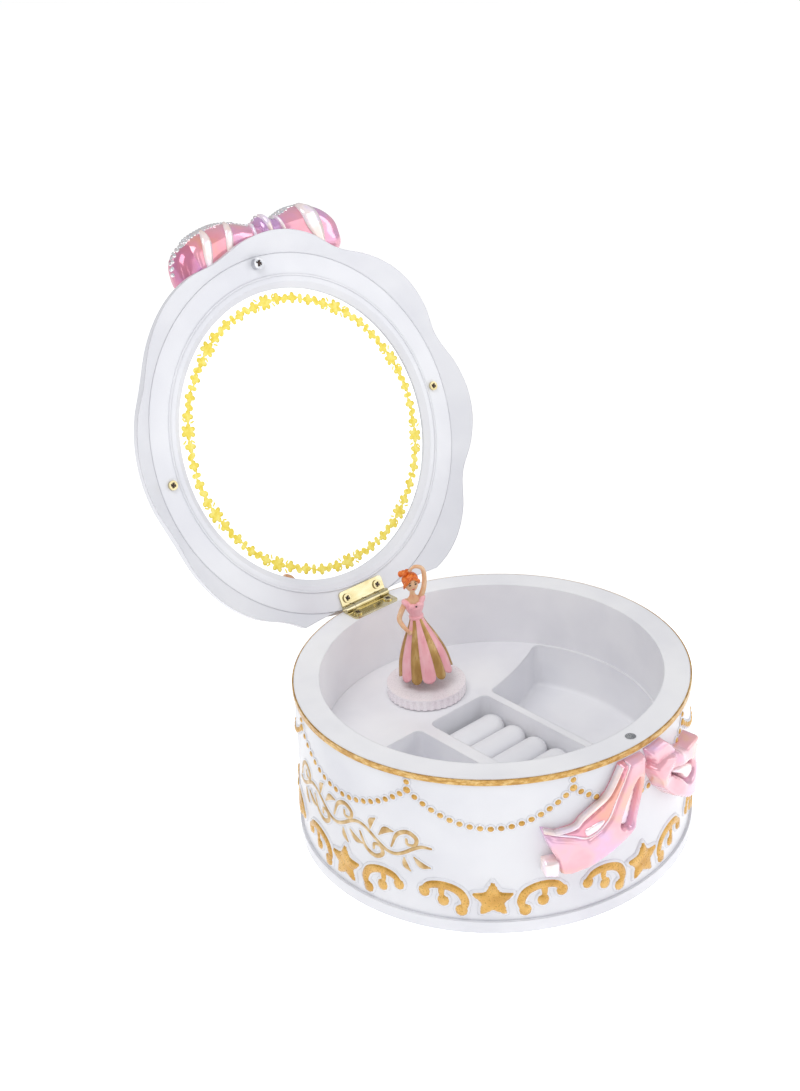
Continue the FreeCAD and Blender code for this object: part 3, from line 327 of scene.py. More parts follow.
def inside(x, y, loop):
    hit = False
    for (x0, y0), (x1, y1) in zip(loop, loop[1:] + loop[:1]):
        if (y0 > y) != (y1 > y) and x < (x1 - x0) * (y - y0) / (y1 - y0) + x0:
            hit = not hit
    return hit


def relief(outline, height, place, soft=2.0, step=0.9, holes=(), crown=None, sink=0.5):
    """Puffed shell over an outline (along, up) in mm, rounded off over a soft width at its edge."""
    loops = []
    for loop in (outline, *holes):
        dense = []
        for a, b in zip(loop, loop[1:] + loop[:1]):
            parts = max(1, round(math.dist(a, b) / step))
            dense += [(a[0] + (b[0] - a[0]) * i / parts, a[1] + (b[1] - a[1]) * i / parts)
                      for i in range(parts)]
        loops.append(dense)
    flat, edges = [], []
    for loop in loops:
        base = len(flat)
        flat += loop
        edges += [(base + i, base + (i + 1) % len(loop)) for i in range(len(loop))]
    rim = np.array(flat)
    tips = np.array([[rim[a], rim[b]] for a, b in edges])

    def gap(x, y):
        a, b = tips[:, 0], tips[:, 1]
        ab = b - a
        t = np.clip(((np.array([x, y]) - a) * ab).sum(1) / (ab ** 2).sum(1), 0, 1)
        return np.sqrt(((a + ab * t[:, None] - (x, y)) ** 2).sum(1)).min()

    def within(x, y):
        return inside(x, y, loops[0]) and not any(inside(x, y, h) for h in loops[1:])

    low, high = rim.min(0), rim.max(0)
    row = 0
    y = low[1] + step * 0.5
    while y < high[1]:
        x = low[0] + step * (0.5 if row % 2 else 0.25)
        while x < high[0]:
            if within(x, y) and gap(x, y) > step * 0.45:
                flat.append((x, y))
            x += step
        y += step * 0.87
        row += 1
    made = delaunay_2d_cdt([Vector(p) for p in flat], edges, [], 0, 1e-5)
    spots, triangles = [tuple(v) for v in made[0]], made[2]
    triangles = [t for t in triangles if within(*(sum(spots[i][k] for i in t) / 3 for k in (0, 1)))]
    top = []
    for x, y in spots:
        share = min(gap(x, y) / soft, 1.0)
        rise = height * math.sqrt(max(0.0, 1 - (1 - share) ** 2))
        top.append(rise * (crown(x, y) if crown else 1.0))
    count = len(spots)
    points = [place(x, y, h) for (x, y), h in zip(spots, top)] + [place(x, y, -sink) for x, y in spots]
    faces = [list(t) for t in triangles] + [[i + count for i in reversed(t)] for t in triangles]
    seen = {}
    for t in triangles:
        for a, b in ((t[0], t[1]), (t[1], t[2]), (t[2], t[0])):
            seen[(a, b)] = 1
    for a, b in seen:
        if (b, a) not in seen:
            faces.append([b, a, a + count, b + count])
    return points, faces


def stroke(points, widths, height, place, steps=6, sink=0.4, grow=0.0):
    """Domed stroke along a smooth path on a surface, rounded at both ends."""
    path = smooth_path([tuple(p) + (w,) for p, w in zip(points, widths)], steps)
    line = []
    for k, (x, y, w) in enumerate(path):
        ahead = np.array(path[min(k + 1, len(path) - 1)][:2]) - np.array(path[max(k - 1, 0)][:2])
        line.append((np.array([x, y]), ahead / max(np.linalg.norm(ahead), 1e-9), w / 2 + grow))
    first, last = line[0], line[-1]
    start = [(first[0] - first[1] * first[2] * math.cos(a), first[1], first[2] * math.sin(a))
             for a in (0.15, 0.5, 0.95)]
    end = [(last[0] + last[1] * last[2] * math.cos(a), last[1], last[2] * math.sin(a))
           for a in (0.95, 0.5, 0.15)]
    rings = []
    for spot, ahead, half in start + line + end:
        side = np.array([-ahead[1], ahead[0]])
        share = min(1.0, half / (line[0][2] * 0.8))
        ring = []
        for u in (-1, -0.86, -0.5, 0, 0.5, 0.86, 1):
            x, y = spot + side * half * u
            ring.append(place(x, y, height * share * math.sqrt(max(0.0, 1 - u * u))))
        for u in (1, 0, -1):
            x, y = spot + side * half * u
            ring.append(place(x, y, -sink))
        rings.append(ring)
    return tube(rings)


# ---------------------------------------------------------------- places on the drum

shell_low, shell_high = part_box("outer_shell")
FOOT_TOP = shell_low.z / MM
WALL_TOP = shell_high.z / MM
RIM_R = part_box("jewel_tray")[1].x / MM
FOOT_WALL_R = shell_high.x / MM


def wall_radius(z):
    share = (WALL_TOP - z) / (WALL_TOP - FOOT_TOP)
    return RIM_R + (FOOT_WALL_R - RIM_R) * share


def on_drum(line):
    """Place (along, up, out) in mm on the wall, along measured from a line in degrees from +X."""
    def place(s, z, h):
        r = wall_radius(z)
        turn = math.radians(line) + s / r
        return ((r + h) * math.cos(turn), (r + h) * math.sin(turn), z)
    return place


# ---------------------------------------------------------------- repeated trimmings, as geometry nodes

def tree_with(name, sockets):
    """An empty geometry tree with named inputs."""
    tree = bpy.data.node_groups.new(name, "GeometryNodeTree")
    tree.interface.new_socket("Geometry", in_out="INPUT", socket_type="NodeSocketGeometry")
    for socket, kind in sockets.items():
        tree.interface.new_socket(socket, in_out="INPUT", socket_type="NodeSocket" + kind)
    tree.interface.new_socket("Geometry", in_out="OUTPUT", socket_type="NodeSocketGeometry")
    return tree, add(tree, "NodeGroupInput").outputs


def bead_tree():
    """Beads evenly spaced along a line, each standing out along the line's stored outward direction."""
    tree, given = tree_with("beads_on_a_line", {
        "Count": "Int", "Radius": "Float", "Height": "Float", "Sides": "Int", "Rings": "Int",
                                                "Material": "Material"})
    line = add(tree, "GeometryNodeMeshToCurve", {"Mesh": given["Geometry"]})
    spots = add(tree, "GeometryNodeResampleCurve", {"Curve": line.outputs["Curve"], "Count": given["Count"]})
    outward = add(tree, "GeometryNodeInputNamedAttribute", values={"Name": "outward"},
                  data_type="FLOAT_VECTOR")
    turn = add(tree, "FunctionNodeAlignRotationToVector", {"Vector": outward.outputs["Attribute"]}, axis="Z")
    bead = add(tree, "GeometryNodeMeshUVSphere", {"Segments": given["Sides"], "Rings": given["Rings"]},
               {"Radius": 1.0})
    size = add(tree, "ShaderNodeCombineXYZ", {"X": given["Radius"], "Y": given["Radius"],
                                              "Z": given["Height"]})
    rows = add(tree, "GeometryNodeInstanceOnPoints", {
        "Points": spots.outputs["Curve"], "Instance": bead.outputs["Mesh"],
        "Rotation": turn.outputs["Rotation"], "Scale": size.outputs["Vector"]})
    real = add(tree, "GeometryNodeRealizeInstances", {"Geometry": rows.outputs["Instances"]})
    dressed = add(tree, "GeometryNodeSetMaterial", {"Geometry": real.outputs["Geometry"],
                                                    "Material": given["Material"]})
    add(tree, "NodeGroupOutput", {"Geometry": dressed.outputs["Geometry"]})
    return tree


def round_tree():
    """Copies of a piece evenly spaced round an upright axis, with their own material."""
    tree, given = tree_with("copies_round_the_axis", {"Count": "Int", "Material": "Material"})
    spots = add(tree, "GeometryNodeMeshLine", {"Count": given["Count"]}, {"Offset": (0, 0, 0)})
    place = add(tree, "GeometryNodeInputIndex")
    full = add(tree, "ShaderNodeMath", {1: given["Count"]}, {0: 2 * math.pi}, operation="DIVIDE")
    angle = add(tree, "ShaderNodeMath", {0: place.outputs["Index"], 1: full.outputs[0]}, operation="MULTIPLY")
    turn = add(tree, "ShaderNodeCombineXYZ", {"Z": angle.outputs[0]})
    turned = add(tree, "FunctionNodeEulerToRotation", {"Euler": turn.outputs["Vector"]})
    rows = add(tree, "GeometryNodeInstanceOnPoints", {
        "Points": spots.outputs["Mesh"], "Instance": given["Geometry"],
                                                      "Rotation": turned.outputs["Rotation"]})
    real = add(tree, "GeometryNodeRealizeInstances", {"Geometry": rows.outputs["Instances"]})
    dressed = add(tree, "GeometryNodeSetMaterial", {"Geometry": real.outputs["Geometry"],
                                                    "Material": given["Material"]})
    add(tree, "NodeGroupOutput", {"Geometry": dressed.outputs["Geometry"]})
    return tree


BEADS, ROUND = bead_tree(), round_tree()


def grown(made, tree, values, body, smooth=True, swing=False):
    """Runs a geometry tree on a piece, bakes it to a plain mesh and lets it ride on its body."""
    grow = made.modifiers.new("grow", "NODES")
    grow.node_group = tree
    for item in tree.interface.items_tree:
        if item.in_out == "INPUT" and item.name in values:
            grow[item.identifier] = values[item.name]
    bpy.context.view_layer.update()
    ready = made.evaluated_get(bpy.context.evaluated_depsgraph_get())
    mesh = bpy.data.meshes.new_from_object(ready)
    made.modifiers.remove(grow)
    made.data = mesh
    if swing:
        mesh.transform(SWING)
    mesh.polygons.foreach_set("use_smooth", [smooth] * len(mesh.polygons))
    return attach(made, body)


def bead_row(name, points, outward, count, radius, height, surface, body, closed=False, sides=14, rings=8,
             smooth=True, swing=False):
    """Beads along a line of points in mm with an outward direction at each."""
    mesh = bpy.data.meshes.new(name)
    total = len(points)
    edges = [(i, i + 1) for i in range(total - 1)] + ([(total - 1, 0)] if closed else [])
    mesh.from_pydata([Vector(p) * MM for p in points], edges, [])
    stored = mesh.attributes.new("outward", "FLOAT_VECTOR", "POINT")
    stored.data.foreach_set("vector", [c for d in outward for c in d])
    made = bpy.data.objects.new(name, mesh)
    bpy.context.scene.collection.objects.link(made)
    return grown(made, BEADS, {"Count": count, "Radius": radius * MM, "Height": height * MM, "Sides": sides,
                               "Rings": rings, "Material": surface}, body, smooth, swing)


# ---------------------------------------------------------------- drum wall: beads, stars, scrolls, flourish

SWAG_TOP, SWAG_LOW, SWAGS, PER_SWAG = 57.1, 44.4, 8, 18
garland_line, garland_out = [], []
for k in range(SWAGS * 24):
    turn = -112.5 + 360.0 * k / (SWAGS * 24)
    share = (k % 24) / 12.0 - 1.0
    z = SWAG_LOW + (SWAG_TOP - SWAG_LOW) * share * share
    garland_line.append(on_drum(turn)(0.0, z, 0.0))
    garland_out.append((math.cos(math.radians(turn)), math.sin(math.radians(turn)), 0.0))
for name, radius, height, surface in (("bead_collars", 1.85, 0.42, white_abs),
                                      ("swag_beads", 1.25, 0.85, star_gold)):
    bead_row(name, garland_line, garland_out, SWAGS * PER_SWAG, radius, height, surface, "root",
                     closed=True)
for name, z, radius in (("joint_beads", SWAG_TOP, 1.5), ("upper_beads", 60.4, 1.2)):
    ring = [on_drum(-112.5 + 45.0 * k)(0.0, z, 0.0) for k in range(SWAGS)]
    out = [(math.cos(math.radians(-112.5 + 45.0 * k)), math.sin(math.radians(-112.5 + 45.0 * k)), 0.0)
           for k in range(SWAGS)]
    bead_row(name, ring, out, SWAGS, radius, radius * 0.75, star_gold, "root", closed=True)
    bead_row(name + "_collars", ring, out, SWAGS, radius + 0.6, 0.42, white_abs, "root", closed=True)

front = on_drum(-90.0)
STAR_Z, STAR_R = 14.5, 7.5


def star_outline(grow=0.0):
    """Five-pointed star with softened tips."""
    loop = []
    for k in range(10):
        turn = math.radians(90 + 36 * k)
        r = (STAR_R + 0.7 if k % 2 == 0 else STAR_R * 0.64) + grow
        for nudge in (-0.1, 0.0, 0.1) if k % 2 == 0 else (0.0,):
            loop.append(((r - 4 * abs(nudge)) * math.cos(turn + nudge),
                         STAR_Z + (r - 4 * abs(nudge)) * math.sin(turn + nudge)))
    return loop


def star_ridges(x, z):
    """Faint ridges from the centre to the tips."""
    turn = math.atan2(z - STAR_Z, x)
    return 0.86 + 0.14 * abs(math.cos(2.5 * (turn - math.pi / 2)))


SCROLL = [((10.4, 10.4), (9.9, 13.2), (11.4, 16.6), (14.4, 18.6), (18.4, 19.4), (22.4, 18.8), (25.0, 16.6)),
          ((18.2, 18.6), (18.4, 16.0), (17.9, 13.2))]
SCROLL_BALLS = ((11.3, 9.4, 2.5), (17.8, 12.8, 2.4), (24.8, 15.6, 2.4))


def scroll_shells(height, grow, mirrored):
    """Arch, stem and three balls of one scroll beside the front star."""
    flip = -1 if mirrored else 1

    def place(s, z, h):
        return front(flip * s, z, h)
    shells = [stroke(SCROLL[0], (2.9, 3.5, 3.8, 3.8, 3.8, 3.5, 2.7), height, place, grow=grow),
              stroke(SCROLL[1], (3.2, 2.5, 2.3), height * 0.97, place, grow=grow)]
    for s, z, r in SCROLL_BALLS:
        shells.append(stroke(((s, z - 0.2), (s, z + 0.2)), (2 * r, 2 * r), height * 1.02, place, steps=2,
                             grow=grow))
    return shells


def repeated(name, shells, surface):
    """Eight copies of a trimming round the drum."""
    made = grown(merged(name, shells, surface, None), ROUND, {"Count": 8, "Material": surface}, "root")
    return made


stars = repeated("puffed_stars", [relief(star_outline(), 1.5, front, 1.6, 0.8, crown=star_ridges)], star_gold)
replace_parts(stars, "star_reliefs")
repeated("star_borders", [relief(star_outline(0.9), 0.75, front, 0.7, 0.9)], white_abs)
scrolls = repeated("gold_scrolls", scroll_shells(1.15, 0.0, False) + scroll_shells(1.15, 0.0, True),
                   star_gold)
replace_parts(scrolls, "scroll_reliefs")
repeated("scroll_borders", scroll_shells(0.7, 0.75, False) + scroll_shells(0.7, 0.75, True), white_abs)

# Flourish: a wave of interlaced curls with leaves, painted pale gold on a raised white ground.
left_side = on_drum(-179.0)
vine = [(s, 33.0 - 0.06 * s + 3.4 * math.sin(s * math.pi / 14.0)) for s in np.arange(-37.0, 37.1, 3.5)]
curls = [(vine, [1.1] + [1.7] * (len(vine) - 2) + [1.1])]
for k in range(5):
    side = 1 if k % 2 == 0 else -1
    x, z = -28.0 + 14.0 * k, 33.0 - 0.06 * (-28.0 + 14.0 * k)
    curls.append(([(x - 7.0, z), (x - 4.6, z + side * 5.6), (x - 0.4, z + side * 7.8),
                   (x + 3.0, z + side * 5.8), (x + 2.4, z + side * 2.8),
                   (x - 0.4, z + side * 2.6), (x - 0.8, z + side * 4.6)],
                  (1.0, 1.8, 2.2, 2.0, 1.7, 1.5, 1.3)))
    curls.append(([(x + 2.0, z - side * 2.4), (x + 4.6, z - side * 5.2), (x + 8.0, z - side * 5.6)],
                  (0.8, 3.0, 0.7)))
    curls.append(([(x - 2.0, z - side * 3.6), (x - 1.6, z - side * 6.6), (x + 0.4, z - side * 8.6)],
                  (0.8, 2.7, 0.7)))
for name, surface, height, grow, slot in (("flourish_ground", white_abs, 0.35, 0.55, "white_shell"),
                                         ("flourish_gilding", flourish_gold, 0.6, 0.0, "gold_paint")):
    shells = [stroke(line, widths, height, left_side, steps=4, grow=grow) for line, widths in curls]
    merged(name, shells, surface, "root")


# ---------------------------------------------------------------- shoe and ribbon bow on the drum

def shoe_crown(s, z):
    """The upper is fullest over the toes and thins towards the heel."""
    along = min(max((s + 42.0) / 42.0, 0.0), 1.0)
    return 1.0 - 0.35 * along


def flowing(loop, steps=4):
    """A closed outline carried smoothly through its corner points."""
    return [tuple(p) for p in smooth_path(loop[-2:] + loop + loop[:2], steps)[2 * steps:-steps - 1]]


upper = [(-42.2, 43.8), (-41.0, 38.6), (-39.4, 34.8), (-37.8, 31.6), (-36.4, 25.0), (-33.0, 24.0),
         (-25.1, 24.8), (-16.2, 27.8), (-8.4, 31.2), (-5.6, 33.4), (-5.0, 37.9), (-3.4, 43.5), (-1.6, 49.2),
         (-0.7, 55.0), (-0.6, 61.2), (-5.5, 61.4), (-9.0, 61.4), (-11.4, 56.0), (-14.6, 50.0),
         (-17.6, 43.4), (-21.6, 39.4), (-26.4, 37.6), (-31.4, 39.6), (-36.8, 41.4)]
arch_gap = [(-12.4, 38.0), (-11.0, 35.4), (-8.6, 35.6), (-6.8, 41.0), (-4.6, 48.6), (-4.2, 53.0),
            (-7.0, 50.2), (-10.0, 44.6)]
shoe = merged("shoe_body", [relief(upper, 6.2, front, 2.0, 0.6, holes=[flowing(arch_gap)], crown=shoe_crown)],
              pearl_soft, "root")
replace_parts(shoe, "shoe_relief")
far_side = [(-37.0, 41.6), (-30.4, 42.4), (-27.8, 44.9), (-22.6, 48.0), (-17.2, 51.8), (-14.0, 56.6),
            (-11.6, 61.4), (-8.4, 61.4), (-11.0, 55.0), (-14.2, 49.0), (-17.2, 42.4), (-21.4, 38.6),
            (-26.4, 36.8), (-31.0, 38.8)]
merged("shoe_inside", [relief(far_side, 4.2, front, 1.4, 0.8)], pearl_pink, "root")
rim = [(-41.2, 43.2), (-36.8, 41.4), (-31.4, 39.5), (-26.4, 37.4), (-21.4, 39.2), (-17.4, 43.2),
       (-14.4, 49.8), (-11.2, 56.0), (-9.0, 60.8)]
far_rim = [(-37.0, 41.7), (-30.4, 42.5), (-27.6, 45.1), (-22.6, 48.3), (-17.2, 52.1), (-12.0, 60.8)]


def raised_by(place, lift):
    """The same place on the wall, lifted outwards."""
    def lifted(s, z, h):
        return place(s, z, h + lift)
    return lifted


# Raised rims along the topline, in the pale pearl as painted highlights.
edges = [stroke(rim, (0.7, 0.8, 0.9, 0.9, 0.9, 0.9, 0.8, 0.7, 0.6), 0.5, raised_by(front, 3.6), sink=2.8),
         stroke(far_rim, (0.7, 0.7, 0.8, 0.8, 0.7, 0.6), 0.4, raised_by(front, 3.6), sink=2.8)]
merged("shoe_edge_highlights", edges, painted_pearl_highlight, "root")
# The toe block of the platform; its bright face is a painted highlight in the pale pearl.
toe_tip = [(-42.3, 25.6), (-37.0, 24.9), (-36.4, 31.4), (-42.1, 31.2)]
merged("shoe_platform_highlight", [relief(toe_tip, 5.4, front, 0.5, 0.5)], painted_pearl_highlight, "root")
# Painted highlight in the shoe's opening, in the pale pearl.
glint = [(-27.0, 38.4), (-22.6, 39.6), (-19.4, 42.8), (-21.4, 43.6), (-25.4, 42.6), (-27.8, 41.4)]
merged("shoe_opening_highlight", [relief(flowing(glint), 4.9, front, 0.8, 0.5)], painted_pearl_highlight, "root")
merged("shoe_arch_glint", [relief(flowing(arch_gap), 1.6, front, 0.6, 0.6)], painted_pearl_highlight, "root")

ribbon = on_drum(-90.0)


def loop_crown(s, z):
    """Soft folds that fan out from the knot."""
    turn = math.atan2(z - 57.0, s - 14.0)
    return 0.9 + 0.1 * math.cos(5.0 * turn)


loop_outline = [(1.0, 54.6), (2.6, 50.0), (6.0, 43.6), (12.6, 36.6), (20.6, 30.8), (26.2, 29.2),
                (28.4, 31.6), (33.2, 38.4), (31.4, 42.6), (34.0, 47.6), (31.6, 52.4), (22.0, 52.2),
                (14.0, 55.4), (7.0, 56.8)]
eye = [(11.0, 47.8), (16.4, 47.6), (26.0, 43.4), (26.6, 39.0), (21.4, 38.4), (17.0, 43.0)]
shells = [relief(loop_outline, 7.0, ribbon, 1.6, 0.7, holes=[flowing(eye)], crown=loop_crown),
          relief([(0.8, 61.4), (10.6, 61.4), (15.6, 55.4), (13.6, 52.6), (3.4, 54.0)], 4.4, ribbon, 0.8, 0.8)]
drum_bow = merged("ribbon_on_drum", shells, pearl_soft, "root")
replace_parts(drum_bow, "drum_bow_relief")
# The loop's eye is filled with the pale pearl as a painted highlight.
merged("ribbon_eye_highlight", [relief(flowing(eye), 5.4, ribbon, 1.2, 0.7)], painted_pearl_highlight, "root")


# ---------------------------------------------------------------- bow on the lid, made closed and swung open

BOW_REACH = -91.0               # how far forward the bow may come, lid closed
BOW_LOW, BOW_HIGH = 67.2, 84.2  # between these heights


def lid_top(r):
    """Height of the closed lid's outer face at a radius."""
    line = [(0, 76.7), (68, 74.2), (73.5, 73.2), (78, 67.2), (90, 60.0)]
    return float(np.interp(r, [p[0] for p in line], [p[1] for p in line]))


def squarish(turn):
    """Direction across a loop's section, pushed out towards a rounded square."""
    cy, cz = math.cos(turn), math.sin(turn)
    square = (abs(cy) ** 2.6 + abs(cz) ** 2.6) ** (-1 / 2.6)
    return cy * square, cz * square


def bow_loop(sections, folds, depth=0.05, sides=40, steps=6):
    """Puffy ribbon loop through (x, y, z, half depth, half height) sections, resting on the lid."""
    path = smooth_path(sections, steps)
    rings = []
    for k, (x, y, z, a, b) in enumerate(path):
        t = k / (len(path) - 1)
        ring = []
        for i in range(sides):
            turn = 2 * math.pi * i / sides
            fold = 1 + depth * (1 - t) * math.cos(folds * turn)
            cy, cz = squarish(turn)
            py = y + a * cy * fold
            pz = z + b * cz * fold
            pz = max(pz, lid_top(math.hypot(x, py)) - 0.3, BOW_LOW + 0.1)
            ring.append((x, min(max(py, BOW_REACH + 0.1), -58.0), min(pz, BOW_HIGH - 0.1)))
        rings.append(ring)
    return tube(rings)


left_loop = [(12.0, -80.6, 75.2, 4.2, 4.0), (7.0, -80.0, 75.4, 5.6, 5.6), (-1.0, -79.4, 75.5, 8.8, 7.4),
             (-10.0, -79.2, 75.6, 10.4, 8.2), (-18.0, -78.4, 75.6, 10.2, 8.2), (-24.0, -78.0, 75.4, 8.8, 7.4),
             (-27.4, -77.8, 75.3, 6.2, 5.0), (-28.4, -77.6, 75.2, 1.5, 1.2)]
right_loop = [(13.0, -80.6, 75.2, 4.2, 4.0), (18.0, -80.0, 75.4, 6.0, 5.4), (25.0, -79.0, 75.5, 9.0, 7.2),
              (33.0, -77.6, 75.6, 10.6, 8.2), (40.0, -75.6, 75.6, 10.2, 8.0), (45.0, -73.6, 75.5, 7.6, 6.4),
              (47.2, -72.6, 75.4, 4.0, 3.4), (47.8, -72.4, 75.3, 1.0, 0.9)]
far_lobe = [(-20.0, -76.6, 74.6, 9.2, 5.6), (-26.0, -75.6, 74.6, 9.6, 6.4), (-30.0, -74.8, 74.6, 8.6, 6.2),
            (-32.8, -74.2, 74.6, 5.8, 4.4), (-33.8, -74.0, 74.6, 1.4, 1.2)]
knot = [(9.6, -81.6, 75.6, 3.6, 3.8), (10.6, -81.8, 75.8, 5.4, 5.6), (13.0, -82.0, 76.0, 6.2, 6.4),
        (15.6, -82.0, 75.8, 5.4, 5.6), (16.8, -81.8, 75.6, 3.6, 3.8)]
# The far lobe takes the darker pearl copy as painted shade.
for name, sections, folds, surface in (("lid_bow_left_loop", left_loop, 6, pearl_pink),
                                       ("lid_bow_right_loop", right_loop, 6, pearl_pink),
                                       ("lid_bow_far_lobe", far_lobe, 5, pearl_painted_shade),
                                       ("lid_bow_knot", knot, 4, pearl_pink)):
    made = merged(name, [bow_loop(sections, folds)], surface, "lid", swing=True)
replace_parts(bpy.data.objects["lid_bow_left_loop"], "lid_bow")


def ridge(sections, turn_deg, steps=6):
    """Line along a loop at a turn round its section, with its outward direction."""
    turn = math.radians(turn_deg)
    cy, cz = squarish(turn)
    line = [(x, max(y + a * cy, BOW_REACH + 0.9), min(z + b * cz, BOW_HIGH - 0.9))
            for x, y, z, a, b in smooth_path(sections, steps)]
    return line, [(0.0, math.cos(turn), math.sin(turn))] * len(line)


STONE_ROWS = [(left_loop[1:7], 176.0, 24), (left_loop[2:7], 190.0, 19), (left_loop[3:7], 203.0, 12),
              (right_loop[1:4], 176.0, 11), (right_loop[1:4], 191.0, 10), (right_loop[1:3], 206.0, 5),
              (far_lobe, 178.0, 10), (far_lobe, 198.0, 9), (knot, 180.0, 6)]
for k, (sections, turn, count) in enumerate(STONE_ROWS):
    line, out = ridge(sections, turn)
    stones = bead_row(f"rhinestones_{k + 1}", line, out, count, 0.95, 0.85, rhinestone, "lid", sides=8, rings=5,
                      smooth=False, swing=True)


def sheen(sections, share, lean, width, start, end, steps=22):
    """Raised strip across a loop, for a painted highlight band: starts at a share of its length, leans along
    it, spans two turns.
    """
    path = smooth_path(sections, 12)
    rings = []
    for k in range(steps + 1):
        part = k / steps
        turn = math.radians(start + (end - start) * part)
        at = min(max(share + lean * part, 0.0), 0.98) * (len(path) - 1)
        x, y, z, a, b = (p + (q - p) * (at % 1.0) for p, q in zip(path[int(at)], path[int(at) + 1]))
        cy, cz = squarish(turn)
        half = width / 2 * math.sin(math.pi * min(max(part, 0.06), 0.94)) ** 0.5
        rings.append([(x + u * half, max(y + (a + h) * cy, BOW_REACH + 0.2),
                       max(z + (b + h) * cz, BOW_LOW + 0.1))
                      for u, h in ((-1, -1.0), (-1, 0.6), (-0.4, 1.0), (0.4, 1.0), (1, 0.6), (1, -1.0))])
    return tube(rings)


# Pale painted highlight bands across the loops, on raised strips.
folds = [sheen(left_loop, 0.36, 0.08, 3.4, 204, 300), sheen(left_loop, 0.56, 0.08, 4.2, 206, 300),
         sheen(left_loop, 0.16, 0.03, 1.4, 200, 290), sheen(right_loop, 0.40, 0.06, 7.4, 204, 300),
         sheen(right_loop, 0.16, 0.03, 1.4, 200, 290), sheen(knot, 0.45, 0.1, 2.4, 196, 290)]
merged("lid_bow_highlight_bands", folds, painted_pearl_highlight, "lid", swing=True)


# ---------------------------------------------------------------- print on the mirror

MIRROR_FACE = 69.9
PRINT_R = 54.8     # middle line of the printed garland


def on_mirror(x, y, h):
    """Closed-lid place just in front of the glass."""
    return (x, y, MIRROR_FACE - 0.02 - h)


def round_mirror(s, r, h):
    """Place on the print ring: along the ring and outwards, at its front."""
    turn = math.radians(-90.0) + s / PRINT_R
    return on_mirror((PRINT_R + r) * math.cos(turn), (PRINT_R + r) * math.sin(turn), h)


def blossom(s, r, petals, size):
    """Flat flower outline."""
    loop = []
    for k in range(petals * 6):
        turn = 2 * math.pi * k / (petals * 6)
        q = size * (0.62 + 0.38 * abs(math.cos(petals * turn / 2)))
        loop.append((s + q * math.cos(turn), r + q * math.sin(turn)))
    return loop


INK, INK_SINK = 0.03, 0.01      # thickness of the print, and its hold on the glass


def printed_blossom(s, r, petals, size, step=0.7):
    return relief(blossom(s, r, petals, size), INK, round_mirror, 0.2, step, sink=INK_SINK)


def printed_line(points, width):
    return stroke(points, [width] * len(points), INK, round_mirror, steps=2, sink=INK_SINK)


garland = [printed_blossom(0, 0, 6, 3.4, 0.9)]
for side in (-1, 1):
    garland += [printed_blossom(side * 5.9, 0.3 * side, 4, 2.5),
                printed_blossom(side * 13.4, 0.2 * side, 4, 2.4),
                printed_line(((side * 9.2, -0.7), (side * 10.2, 0.7)), 2.4),
                printed_line(((side * 3.7, 1.4), (side * 4.6, 2.4)), 0.7),
                printed_line(((side * 3.5, -1.2), (side * 4.2, -2.3)), 0.7)]
garland += [printed_line(((17.2, -1.1), (17.2, 1.1)), 1.9),
            printed_line([(s, 0.5 * math.sin(s * 0.9)) for s in np.linspace(-17.2, 17.2, 18)], 0.7)]
made = merged("mirror_garland", garland, print_yellow, None)
grown(made, ROUND, {"Count": 10, "Material": print_yellow}, "lid", swing=True)


# ---------------------------------------------------------------- painted shade in screw recesses and hinge gaps, lid seams

def closed_points(node, turn=True):
    """Corner points of a node in mm, with a lid node turned back to closed."""
    back = SWING.inverted() if turn else Matrix.Identity(4)
    return np.array([(back @ v.co) / MM for v in nodes[node].data.vertices])


def cross(x, y, face, size, outward):
    """Cross of painted shade for the recess, just off a head's face at its centre; outward is +1 or -1 along Z.
    """
    def place(u, v, h):
        return (x + u, y + v, face + outward * (0.02 + h))
    arm = size * 0.26
    loop = [(arm, arm), (arm, size), (-arm, size), (-arm, arm), (-size, arm), (-size, -arm), (-arm, -arm),
            (-arm, -size), (arm, -size), (arm, -arm), (size, -arm), (size, arm)]
    turned = [(0.82 * u - 0.57 * v, 0.57 * u + 0.82 * v) for u, v in loop]
    return relief(turned, 0.03, place, 0.1, 0.5, sink=0.01)


lid_recess_shade = []
for node in ("lid_screws", "catch_screw", "hinge_screws_upper"):
    spots = closed_points(node)
    for side in (-1, 1) if node != "catch_screw" else (0,):
        mine = spots if side == 0 else spots[spots[:, 0] * side > 0]
        face, middle, size = mine[:, 2].min(), (mine.min(0) + mine.max(0)) / 2, np.ptp(mine[:, 0]) / 2
        lid_recess_shade.append(cross(middle[0], middle[1], face, size * 0.62, -1))
merged("lid_screw_recess_shade", lid_recess_shade, dark_paint_and_shade, "lid", swing=True)
drum_recess_shade = []
spots = closed_points("hinge_screws_lower", False)
for side in (-1, 1):
    mine = spots[spots[:, 0] * side > 0]
    drum_recess_shade.append(cross((mine[:, 0].min() + mine[:, 0].max()) / 2,
                            (mine[:, 1].min() + mine[:, 1].max()) / 2,
                            mine[:, 2].max(), np.ptp(mine[:, 0]) / 2 * 0.62, 1))
merged("hinge_screw_recess_shade", drum_recess_shade, dark_paint_and_shade, "root")


def hoop(inner, outer, low, high, start, end, steps=160):
    """Square-section ring segment round the upright axis, in degrees."""
    rings = []
    for k in range(steps + 1):
        turn = math.radians(start + (end - start) * k / steps)
        rings.append([(r * math.cos(turn), r * math.sin(turn), z)
                      for r, z in ((inner, low), (outer, low), (outer, high), (inner, high))])
    return tube(rings)


